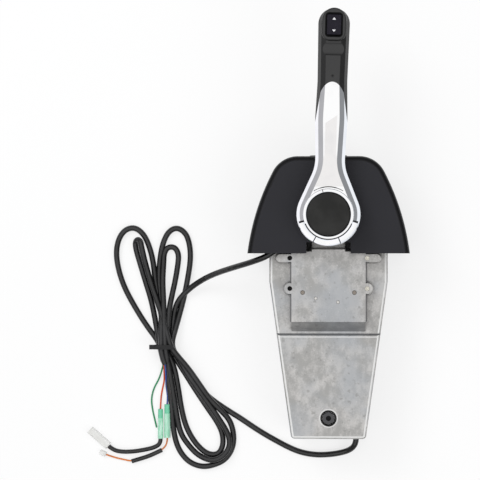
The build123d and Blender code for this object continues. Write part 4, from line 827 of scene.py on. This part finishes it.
FINISHES: dict[Slot, Finish] = {
    Slot.COVER: CoverPlastic(),
    Slot.CASTING: CastMetal(),
    Slot.CHROME: Chrome(),
    Slot.STEEL: Metal("plain_steel", (0.55, 0.55, 0.56), 0.32, 0.00001),
    Slot.BRONZE: Metal("bearing_bronze", (0.6, 0.44, 0.2), 0.3, 0.00001),
    Slot.GRIP: GripPlastic(),
    Slot.BUTTON: Plastic("smooth_button", srgb(36, 36, 35), 0.4, 0.0012, 0.00002),
    Slot.BLACK_TRIM: Plastic("black_trim", srgb(24, 24, 25), 0.28, 0.0014, 0.00002, gloss=0.4),
    Slot.RUBBER: Plastic("soft_rubber", srgb(28, 28, 28), 0.62, 0.0008, 0.00004),
    Slot.LEAD_SLEEVE: Sleeving(),
    Slot.TIE: Plastic("black_nylon", srgb(36, 36, 37), 0.4),
    Slot.WHITE_PLASTIC: Plastic("milky_plastic", srgb(250, 250, 247), 0.3, see_through=0.08, gloss=0.5),
    Slot.GREEN_PLASTIC: BulletPlastic(),
    Slot.GREEN_INSULATION: Insulation("green_wire", srgb(42, 140, 92)),
    Slot.RED_INSULATION: Insulation("red_wire", srgb(214, 84, 44)),
    Slot.BLUE_INSULATION: Insulation("blue_wire", srgb(52, 82, 160)),
    Slot.ORANGE_INSULATION: Insulation("orange_wire", srgb(222, 128, 62)),
}


PALE_ZINC = Metal("pale_zinc", srgb(232, 228, 216), 0.4)
NODE_FINISHES: dict[str, Finish] = {
    "trim_rocker": RockerPlastic(),
    "cover_top_insert": Plastic("dark_insert", srgb(20, 20, 21), 0.4),
    "rocker_pin": Plastic("blackened_pin", srgb(12, 12, 12), 0.5),
    "switch_bezel": Plastic("gloss_black", srgb(9, 9, 10), 0.2, 0.0014, 0.00001, gloss=0.06),
    "bracket_rivets": SpotMetal(
        "rivet_steel", srgb(236, 234, 230), srgb(150, 142, 134), (-0.0016, -0.0855), 0.02
    ),
    # Painted shade: the black disc in the middle stands for the shade in the bolt's socket.
    "clamp_bolt": SpotMetal("black_steel", srgb(6, 6, 6), srgb(86, 86, 88), (0.0, -0.204), 0.0027),
    "upper_bracket_screw": PALE_ZINC,
    "lower_bracket_screw": PALE_ZINC,
}


class Finishes:
    """The finished materials by slot, each made once, and those of single solids."""

    def __init__(self) -> None:
        """Make every material."""
        different = dict.fromkeys([*FINISHES.values(), *NODE_FINISHES.values()])
        made = {finish: finish.build() for finish in different}
        self.by_slot = {slot: made[finish] for slot, finish in FINISHES.items()}
        self.by_node = {name: made[finish] for name, finish in NODE_FINISHES.items()}

    def dress(self, thing: Thing, slot: Slot) -> None:
        """Give an object its own material, or else the one of its slot."""
        thing.data.materials.clear()
        thing.data.materials.append(self.by_node.get(thing.name, self.by_slot[slot]))


class Sculpt:
    """A mesh piece shaped by edit-mode operators."""

    def __init__(self, name: str) -> None:
        """Remember the name that the piece gets when it is done."""
        self.name = name
        bpy.ops.object.select_all(action="DESELECT")

    @property
    def piece(self) -> Thing:
        """The object being shaped."""
        return bpy.context.active_object

    def size(self, scale: Point) -> None:
        """Stretch a fresh shape on its three axes and make that its own size."""
        self.piece.scale = scale
        bpy.ops.object.transform_apply(location=True, rotation=True, scale=True)

    def pick(self, test: Callable[[bpy.types.MeshPolygon], bool]) -> None:
        """Select only the faces that pass a test, and stay in edit mode.

        Args:
            test: Tells whether a face is wanted.
        """
        bpy.ops.object.mode_set(mode="EDIT")
        bpy.ops.mesh.select_mode(type="FACE")
        bpy.ops.mesh.select_all(action="DESELECT")
        bpy.ops.object.mode_set(mode="OBJECT")
        for face in self.piece.data.polygons:
            face.select = test(face)
        bpy.ops.object.mode_set(mode="EDIT")

    def sink(self, border: float, depth: float) -> None:
        """Inset the selected faces by a border and push them down along Z, in metres."""
        bpy.ops.mesh.inset(thickness=border)
        bpy.ops.mesh.extrude_region_move(TRANSFORM_OT_translate={"value": (0, 0, -depth)})

    def round_edges(self, width: float, limit: float = 35.0) -> None:
        """Round every edge sharper than a limit.

        Args:
            width: Width of the rounding in metres.
            limit: Angle in degrees.
        """
        bpy.ops.object.mode_set(mode="OBJECT")
        bevel = self.piece.modifiers.new("rounding", "BEVEL")
        bevel.width = width
        bevel.segments = 2
        bevel.limit_method = "ANGLE"
        bevel.angle_limit = math.radians(limit)
        bpy.ops.object.modifier_apply(modifier=bevel.name)

    def merge(self) -> None:
        """Merge doubled points of the whole mesh and turn its faces outwards."""
        bpy.ops.object.mode_set(mode="EDIT")
        bpy.ops.mesh.select_all(action="SELECT")
        bpy.ops.mesh.remove_doubles(threshold=1e-6)
        bpy.ops.mesh.normals_make_consistent(inside=False)
        bpy.ops.object.mode_set(mode="OBJECT")

    def done(self) -> Thing:
        """Close the piece: place applied, faces turned out, smooth over small angles.

        Returns:
            The finished object.
        """
        self.merge()
        bpy.ops.object.transform_apply(location=True, rotation=True, scale=True)
        bpy.ops.object.shade_smooth_by_angle(angle=math.radians(30))
        self.piece.name = self.name
        return self.piece

    def copy(self, name: str, shift: Vector) -> Thing:
        """Copy the finished piece, with a mesh of its own.

        Args:
            name: Name of the copy.
            shift: How far away the copy is, in metres.

        Returns:
            The copy.
        """
        twin = bpy.data.objects.new(name, self.piece.data.copy())
        twin.data.transform(Matrix.Translation(shift))
        bpy.context.scene.collection.objects.link(twin)
        return twin


@dataclass
class Workshop:
    """What every sub-assembly needs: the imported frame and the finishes."""

    frame: dict
    finishes: Finishes

    def node(self, name: str) -> Thing:
        """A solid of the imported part."""
        return self.frame["nodes"][name]

    def fit(self, piece: Thing, body: Body, slot: Slot, replaces: Sequence[str] = ()) -> None:
        """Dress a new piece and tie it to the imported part.

        Args:
            piece: The new object.
            body: Body that it rides on.
            slot: Material slot of its finish.
            replaces: Solids that it stands for.
        """
        self.finishes.dress(piece, slot)
        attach(piece, body.value)
        if replaces:
            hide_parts(*replaces)
        LOG.info("%s rides on %s in %s", piece.name, body.value, slot.value)


REST_HEIGHT = 3.2


def route(*points: tuple[float, ...]) -> list[Point]:
    """Points of a run in millimetres, of which those with no height lie on the floor."""
    return [point if len(point) == 3 else (*point, REST_HEIGHT) for point in points]


COVER_LEAD: list[Point] = [
    (-47, -34.6, 70), (-53, -34.6, 70), (-60.5, -40.6, 70), (-68.5, -44.4, 67.6), (-81, -48.6, 60.5),
    (-99.3, -54, 45), (-116.7, -59.8, 28), (-131.4, -66.8, 13.5),
]
COVER_HANK: list[Point] = route(
    (-146, -77, 6), (-157, -89, 3.4), (-161, -103, 3.4), (-162, -119, 3.4), (-164, -132, 4),
    (-164, -140, 4), (-159, -148), (-150, -162), (-140, -178), (-126, -199), (-116, -213), (-110, -225),
    (-109, -238), (-114, -248), (-125, -248), (-135, -240), (-143, -229), (-149, -216), (-153, -199),
    (-156, -179), (-160, -157, 4.5), (-167, -142, 9.2), (-168, -131, 9.4), (-166, -113, 9.2),
    (-165, -96, 8.4), (-162, -81, 5.5), (-159, -67, 3.4), (-156, -49), (-155.6, -39.5), (-159.5, -32.5),
    (-167, -32.5, 3.4), (-170.8, -39, 4.2), (-171, -49, 6), (-172, -67, 8), (-171, -87, 9),
    (-170, -110, 11.5), (-169, -130, 14.6), (-168, -141, 14.4), (-165, -160, 8.6), (-161, -183, 7),
    (-158, -205, 4.6), (-154, -226), (-145, -239), (-135, -249, 4.5), (-122, -254, 8), (-111, -251, 9),
    (-103, -242, 8), (-102, -232, 7.4), (-106, -222, 8), (-113, -211, 9), (-121, -199, 9),
    (-132, -184, 8.8), (-144, -167, 9), (-154, -150, 9.4), (-161, -139, 9.4), (-162, -130, 9.4),
    (-159, -119, 7.5), (-155, -104, 3.6), (-150, -85), (-146, -65), (-143, -45), (-144, -30), (-148, -18),
    (-157, -12), (-166, -16), (-172, -28), (-175, -44), (-176, -60), (-175, -79, 3.4), (-173, -100, 7),
    (-173, -117, 12.5), (-173, -132, 14.8), (-173, -143, 13.5), (-169, -154, 12.5),
)
HOUSING_LEAD: list[Point] = route(
    (28.5, -227, 14), (28.5, -233, 14), (25.2, -239.6, 10.4), (17.6, -244.2, 5.4), (3.5, -247.2, 3.4),
    (-12.5, -248), (-28.4, -245.4), (-41.2, -240.2), (-54, -233.4), (-66, -226.7), (-78, -219.2),
    (-90.6, -210.6), (-103.5, -202.7),
)
HOUSING_HANK: list[Point] = route(
    (-116, -194.5), (-127, -186), (-137, -174), (-144, -162), (-152, -151, 3.4), (-166, -141, 4),
    (-169, -131, 4), (-172, -113, 3.4), (-176, -90), (-180, -68), (-182, -48), (-186, -32), (-192, -19),
    (-201, -12), (-211, -14), (-218, -23), (-221, -37), (-219, -54), (-213, -73), (-203, -92),
    (-190, -113, 3.4), (-177, -130, 4), (-173, -141, 4), (-169, -158), (-165, -178), (-163, -196),
    (-162, -213), (-160, -229), (-156, -242), (-149, -252), (-141, -258), (-130, -261), (-119, -259),
    (-108, -254), (-101, -245), (-98, -234), (-99, -222), (-103, -211, 4.5), (-112, -201, 8.5),
    (-123, -190, 9), (-134, -174, 9.4), (-145, -158, 11), (-156, -145, 14), (-162, -137, 14.8),
    (-165, -128, 14.4), (-170, -110, 11), (-177, -90, 8.4), (-184, -70, 7.4), (-190, -49, 8.6),
    (-192, -40, 9.8), (-193.9, -31.2, 10.4), (-194.5, -27.2, 10.4), (-196.7, -24.8, 8.3),
    (-199.3, -25.2, 5.3), (-200.7, -28.2), (-200.5, -32.2), (-199, -39), (-196, -49), (-190, -69),
    (-184, -88), (-180, -108, 3.6), (-176, -128, 9), (-174, -139, 9.6), (-171, -151, 9),
)
GREEN_WIRE: list[Point] = [
    (-170.5, -150.5, 8.6), (-172.6, -159.5, 3.4), (-176.3, -170.2, 1.6), (-181.8, -179.7, 1),
    (-184.4, -190.8, 1), (-183, -202, 1), (-180.6, -212.4, 1), (-178.7, -220.5, 1),
]
RED_WIRE: list[Point] = [
    (-170.5, -150, 9.4), (-170.4, -161, 7.6), (-170.4, -171, 3), (-172.6, -180, 1.4), (-174.2, -189, 1.4),
    (-174.6, -201.2, 2.9),
]
BLUE_WIRE: list[Point] = [
    (-169, -153, 12.5), (-168.4, -163, 8.4), (-168.8, -176.6, 2.6), (-167.6, -184.6, 1.4),
    (-167.2, -190.4, 1.8), (-167.6, -196.2, 3.4),
]
ORANGE_WIRE: list[Point] = [
    (-167.4, -230.6, 3.4), (-167.4, -237.2, 3.4), (-173, -243.6, 2.4), (-183, -248.6, 2.4),
    (-192.4, -252, 2.4), (-204.6, -255.6, 2.4), (-213.2, -253.8, 1.8), (-222, -252, 1.6),
    (-231.4, -248.7, 2.2),
]
UPPER_TAIL: list[Point] = [
    (-174.5, -231.6, 2.9), (-174.5, -236.8, 2.9), (-180.6, -240.9, 2.6), (-189.4, -243.2, 2.4),
    (-202, -245.4, 2.4), (-214.6, -245.9, 2.6), (-223.9, -243.8, 3.5), (-228.6, -239.7, 3.5),
]
LOWER_TAIL: list[Point] = ORANGE_WIRE[2:6]


@dataclass(frozen=True)
class Run:
    """One lead, wire or tail.

    Attributes:
        name: Name of the piece.
        route: Points in millimetres, of which the first is its exit.
        thickness: Diameter in metres.
        slot: Material slot of its finish.
        replaces: Solids that it stands for.
        far_end: What it ends in, or nothing where it is no free cord.
        lay: How it lies; not used.
        fittings: Names of separate pieces on it; not used.
    """

    name: str
    route: list[Point]
    thickness: float
    slot: Slot
    replaces: tuple[str, ...]
    far_end: FarEnd | None = None
    lay: Lay = Lay.LOOSE
    fittings: tuple[str, ...] = ()


@dataclass
class Harness:
    """Two leads tied in one hank, with the wires and tails on their far ends.

    Attributes:
        shop: Frame and finishes.
        lead: Diameter of a lead in metres.
        wire: Diameter of a thin wire in metres.
        tail: Diameter of a sleeved tail in metres.
    """

    shop: Workshop
    lead: float = 6 * MM
    wire: float = 1.8 * MM
    tail: float = 4.6 * MM

    def runs(self) -> list[Run]:
        """List every lead, wire and tail.

        Returns:
            The runs in the order in which they are laid.
        """
        plug, sleeves = FarEnd.CONNECTOR, "bullet_sleeves"
        return [
            Run("cover_lead_cord", COVER_LEAD + COVER_HANK, self.lead, Slot.LEAD_SLEEVE,
                ("cover_lead", "harness_hank"), plug, Lay.COILED, ("cable_tie", sleeves)),
            Run("housing_lead_cord", HOUSING_LEAD + HOUSING_HANK, self.lead, Slot.LEAD_SLEEVE,
                ("housing_lead",), plug, Lay.COILED, (sleeves,)),
            Run("green_wire_cord", GREEN_WIRE, self.wire, Slot.GREEN_INSULATION, ("green_wire",),
                FarEnd.BARE),
            Run("red_wire_cord", RED_WIRE, self.wire, Slot.RED_INSULATION, ("red_wire",), plug,
                fittings=(sleeves,)),
            Run("blue_wire_cord", BLUE_WIRE, self.wire, Slot.BLUE_INSULATION, ("blue_wire",), plug,
                fittings=(sleeves,)),
            Run("orange_wire_cord", ORANGE_WIRE, self.wire, Slot.ORANGE_INSULATION,
                ("orange_wire", "tail_wire"), plug, fittings=("lower_tail_sleeve", "pin_connector")),
            Run("upper_tail_cord", UPPER_TAIL, self.tail, Slot.LEAD_SLEEVE, ("upper_tail",), plug,
                fittings=("block_connector",)),
            Run("lower_tail_sleeve", LOWER_TAIL, self.tail, Slot.LEAD_SLEEVE, ("lower_tail",)),
        ]

    def line(self, run: Run) -> Thing:
        """Smooth round line along a run's route.

        Args:
            run: What is laid.

        Returns:
            The curve object.
        """
        curve = bpy.data.curves.new(run.name, "CURVE")
        curve.dimensions = "3D"
        curve.bevel_depth = run.thickness / 2
        curve.bevel_resolution = 4
        curve.resolution_u = 8
        curve.use_fill_caps = True
        spline = curve.splines.new("NURBS")
        spline.points.add(len(run.route) - 1)
        for spot, (x, y, z) in zip(spline.points, run.route):
            spot.co = (x * MM, y * MM, z * MM, 1)
        spline.order_u = 3
        spline.use_endpoint_u = True
        piece = bpy.data.objects.new(run.name, curve)
        bpy.context.scene.collection.objects.link(piece)
        return piece

    def declare(self, run: Run) -> None:
        """Scale a run's first point to metres and keep nothing of it.

        Args:
            run: What is laid.
        """
        [c * MM for c in run.route[0]]

    def build(self) -> None:
        runs = self.runs()
        pieces = dict(self.shop.frame["nodes"])
        for run in runs:
            pieces[run.name] = self.line(run)
            self.shop.fit(pieces[run.name], Body.HOUSING, run.slot, run.replaces)
        for run in runs:
            if run.far_end:
                self.declare(run)


@dataclass(frozen=True)
class Arc:
    """A bent bar round the pivot: radii and heights in millimetres, ends in degrees."""

    inner: float
    outer: float
    back: float
    front: float
    start: float
    end: float


@dataclass
class HubTrim:
    """Bright flat ring, in three lengths, round the lower half of the hub, and black strips of painted shade
    by it.

    Attributes:
        shop: Frame and finishes.
        ring: Lengths of the ring.
        shade_strips: Lengths of the soft black strips that stand for shade.
        steps: Faces along each length.
    """

    shop: Workshop
    ring: tuple[Arc, ...] = tuple(
        Arc(24.9, 30.9, 104.6, 112.4, *ends) for ends in ((-163.0, -119.7), (-118.5, -67.5), (-66.3, -17.0))
    )
    # Black strips that stand for shade: under the ring, in its gaps, at its ends and in thin arcs on the
    # hub.
    shade_strips: tuple[Arc, ...] = (
        Arc(24.0, 24.9, 110.0, 112.6, -158.0, -22.0),
        Arc(25.3, 30.4, 104.6, 112.1, -119.7, -118.5),
        Arc(25.3, 30.4, 104.6, 112.1, -67.5, -66.3),
        Arc(25.3, 30.0, 104.6, 111.8, -166.5, -163.0),
        Arc(25.3, 30.0, 104.6, 111.8, -17.0, -13.5),
        Arc(26.7, 27.3, 109.0, 111.4, 58.0, 122.0),
        Arc(26.5, 27.4, 109.0, 111.6, 72.0, 108.0),
        Arc(21.9, 25.0, 110.0, 112.5, 103.0, 104.6),
    )
    steps: int = 24

    def bend(self, name: str, arcs: Sequence[Arc], slot: Slot, rounding: float) -> None:
        """Spin a section along each length and join the lengths in one piece.

        Args:
            name: Name of the piece.
            arcs: Its lengths.
            slot: Material slot of its finish.
            rounding: Width of the rounded edges in metres.
        """
        sculpt = Sculpt(name)
        lengths = []
        for arc in arcs:
            turn = math.radians(arc.start)
            reach = (arc.inner + arc.outer) / 2 * MM
            bpy.ops.object.select_all(action="DESELECT")
            bpy.ops.mesh.primitive_plane_add(
                size=1, rotation=(math.pi / 2, 0, turn),
                location=(reach * math.cos(turn), reach * math.sin(turn), (arc.back + arc.front) / 2 * MM),
            )
            sculpt.size(((arc.outer - arc.inner) * MM, (arc.front - arc.back) * MM, 1))
            bpy.ops.object.mode_set(mode="EDIT")
            bpy.ops.mesh.select_all(action="SELECT")
            bpy.ops.mesh.spin(
                steps=self.steps, angle=math.radians(arc.end - arc.start), center=(0, 0, 0), axis=(0, 0, -1)
            )
            bpy.ops.object.mode_set(mode="OBJECT")
            lengths.append(sculpt.piece)
        for length in lengths:
            length.select_set(True)
        bpy.ops.object.join()
        sculpt.merge()
        sculpt.round_edges(rounding)
        self.shop.fit(sculpt.done(), Body.LEVER, slot)

    def build(self) -> None:
        """Make the ring and the strips of shade."""
        self.bend("hub_ring", self.ring, Slot.CHROME, 0.5 * MM)
        # Painted shade: black strips in the ring's gaps, at its ends and round the hub.
        self.bend("hub_shade_strips", self.shade_strips, Slot.RUBBER, 0.05 * MM)


@dataclass
class ButtonCoil:
    """Coil under the push button.

    Attributes:
        shop: Frame and finishes.
        travel: How much shorter it would get, in metres; not used.
    """

    shop: Workshop
    travel: float = 4.1 * MM

    def build(self) -> None:
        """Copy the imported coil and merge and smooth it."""
        sculpt = Sculpt("button_coil")
        coil = bpy.data.objects.new("button_coil", self.shop.node("button_spring").data.copy())
        bpy.context.scene.collection.objects.link(coil)
        coil.select_set(True)
        bpy.context.view_layer.objects.active = coil
        self.shop.fit(sculpt.done(), Body.LEVER, Slot.STEEL, ["button_spring"])
        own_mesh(coil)


@dataclass(frozen=True)
class Stud:
    """Two equal blocks or round studs with a recess in the front, all in millimetres.

    Attributes:
        names: Names of the two.
        middles: Middles of the two.
        size: Size on the three axes.
        is_round: Whether they are round.
        recess: Border and depth of the recess.
        rounding: Width of the rounded edges.
        slot: Material slot of the finish.
    """

    names: tuple[str, str]
    middles: tuple[Point, Point]
    size: Point
    is_round: bool
    recess: Pair
    rounding: float
    slot: Slot


@dataclass
class HousingTrim:
    """Black blocks of painted shade in the notch's corners and two short screws in the right-hand bracket
    holes.

    Attributes:
        shop: Frame and finishes.
        notch_shades: The black blocks that stand for shade in the notch's corners.
        screws: The screws.
    """

    shop: Workshop
    # Painted shade: black blocks fill the notch's corners, where the cavity lies in shade.
    notch_shades: Stud = Stud(
        ("left_notch_shade", "right_notch_shade"), ((-19.15, -31.35, 68.6), (19.15, -31.35, 68.6)),
        (5.3, 7.3, 6.8), False, (1.2, 1.5), 0.4, Slot.RUBBER,
    )
    screws: Stud = Stud(
        ("upper_bracket_screw", "lower_bracket_screw"), ((38.65, -43.3, 73.6), (38.65, -73.7, 73.6)),
        (4.6, 4.6, 4), True, (1.1, 0.5), 0.25, Slot.STEEL,
    )

    def make(self, stud: Stud) -> None:
        """Shape the first of two studs, copy it and fit both.

        Args:
            stud: What is made.
        """
        sculpt = Sculpt(stud.names[0])
        first, second = (Vector(middle) * MM for middle in stud.middles)
        if stud.is_round:
            bpy.ops.mesh.primitive_cylinder_add(vertices=32, radius=0.5, depth=1, location=first)
        else:
            bpy.ops.mesh.primitive_cube_add(size=1, location=first)
        sculpt.size(Vector(stud.size) * MM)
        sculpt.pick(lambda face: face.normal.z > 0.9)
        sculpt.sink(*(width * MM for width in stud.recess))
        sculpt.round_edges(stud.rounding * MM)
        for piece in (sculpt.done(), sculpt.copy(stud.names[1], second - first)):
            self.shop.fit(piece, Body.HOUSING, stud.slot)

    def build(self) -> None:
        """Make the blocks of shade and the screws."""
        self.make(self.notch_shades)
        self.make(self.screws)


@dataclass(frozen=True)
class Lamp:
    """Soft square lamp: where it hangs, what it faces, its side in metres and its power in watts."""

    name: str
    place: Point
    target: Point
    size: float
    power: float


@dataclass
class Studio:
    """Pale floor, soft light and the camera over the part.

    Attributes:
        camera_height: Height of the camera over the floor in metres.
        under_camera: Floor point straight below the camera.
        looks_at: Floor point in the middle of the picture.
        lens: Focal length on a 36 mm wide sensor, in millimetres.
        sky_low: Height, as a sine, and brightness of the dim part of the room.
        sky_high: Height, as a sine, and brightness of the bright part overhead.
        sky_tilt: How much dimmer the room is towards the right.
        sky_strength: Strength of the room's light.
        floor_glow: Share of plain white in the floor as it is seen.
        lamps: The lamps.
    """

    camera_height: float = 2.0
    under_camera: Pair = (0.0, -0.0252)
    looks_at: Pair = (-0.0919, -0.0252)
    lens: float = 144.4
    sky_low: Pair = (0.42, 0.22)
    sky_high: Pair = (0.85, 1.0)
    sky_tilt: float = 0.25
    sky_strength: float = 1.0
    floor_glow: float = 0.72
    lamps: tuple[Lamp, ...] = (
        Lamp("window", (-1.3, 1.2, 2.0), (-0.1, -0.05, 0), 1.2, 22),
        Lamp("fill", (1.4, -0.9, 1.8), (-0.05, -0.05, 0), 1.4, 12),
    )

    def floor(self) -> None:
        """Large pale floor that keeps the shadows."""
        bpy.ops.object.select_all(action="DESELECT")
        bpy.ops.mesh.primitive_plane_add(size=8, location=(0, 0, -0.0002))
        ground = bpy.context.active_object
        ground.name = "pale_floor"
        paint = Paint("pale_floor")
        clouds = paint.noise(0.3, 2)
        matt = paint.node("ShaderNodeBsdfDiffuse", None, {
            "Color": paint.mix(clouds, (0.93, 0.93, 0.935), (0.95, 0.95, 0.955)),
        })
        glow = paint.node("ShaderNodeEmission", None, {"Color": (1, 1, 1, 1), "Strength": 1.0})
        rays = paint.node("ShaderNodeLightPath")
        kinds = ("Is Camera Ray", "Is Glossy Ray", "Is Transmission Ray")
        seen = sum(Value(paint, rays.outputs[kind]) for kind in kinds)
        blend = paint.node("ShaderNodeMixShader", None, {
            0: seen * self.floor_glow, 1: matt.outputs[0], 2: glow.outputs[0],
        })
        paint.node("ShaderNodeOutputMaterial", None, {"Surface": blend.outputs[0]})
        ground.data.materials.append(paint.material)

    def hang(self, lamp: Lamp) -> None:
        """Hang a lamp that leaves no picture of itself in the chrome.

        Args:
            lamp: The lamp.
        """
        light = bpy.data.lights.new(lamp.name, "AREA")
        light.energy = lamp.power
        light.size = lamp.size
        thing = bpy.data.objects.new(lamp.name, light)
        thing.location = lamp.place
        thing.visible_glossy = False
        thing.rotation_euler = (Vector(lamp.target) - Vector(lamp.place)).to_track_quat("-Z", "Y").to_euler()
        bpy.context.scene.collection.objects.link(thing)

    def world(self) -> None:
        """Soft light from all round, bright overhead and dimmer low down and to the right."""
        surroundings = bpy.data.worlds.new("white_room")
        bpy.context.scene.world = surroundings
        surroundings.use_nodes = True
        graph = Graph(surroundings.node_tree)
        direction = graph.node("ShaderNodeTexCoord").outputs["Generated"]
        overhead = graph.band(graph.part(direction, "Z"), self.sky_low[0], self.sky_high[0])
        level = overhead * (self.sky_high[1] - self.sky_low[1]) + self.sky_low[1]
        sky = level * (1.0 - graph.part(direction, "X") * self.sky_tilt)
        backdrop = graph.node("ShaderNodeBackground", None, {"Color": sky, "Strength": self.sky_strength})
        graph.node("ShaderNodeOutputWorld", None, {"Surface": backdrop.outputs[0]})

    def camera(self) -> None:
        """Camera straight above, aimed at the middle of the picture."""
        data = bpy.data.cameras.new("view_from_above")
        data.lens = self.lens
        data.sensor_width = 36
        thing = bpy.data.objects.new("view_from_above", data)
        place = Vector((*self.under_camera, self.camera_height))
        thing.location = place
        back = (place - Vector((*self.looks_at, 0.0))).normalized()
        right = Vector((0, 1, 0)).cross(back).normalized()
        axes = Matrix((right, back.cross(right), back)).transposed()
        thing.rotation_euler = axes.to_euler()
        bpy.context.scene.collection.objects.link(thing)
        bpy.context.scene.camera = thing

    def build(self) -> None:
        """Set up everything around the part."""
        self.floor()
        self.world()
        for lamp in self.lamps:
            self.hang(lamp)
        self.camera()
        bpy.context.scene.view_settings.view_transform = "Standard"


def main() -> None:
    """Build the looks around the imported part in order."""
    logging.basicConfig(level=logging.INFO, format="%(message)s")
    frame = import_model()
    shop = Workshop(frame, Finishes())
    for entry in frame["record"]["subparts"]:
        shop.finishes.dress(frame["nodes"][entry["node"]], Slot(entry["material_slot"]))
    Harness(shop).build()
    HubTrim(shop).build()
    ButtonCoil(shop).build()
    HousingTrim(shop).build()
    Studio().build()


if __name__ == "__main__":
    main()
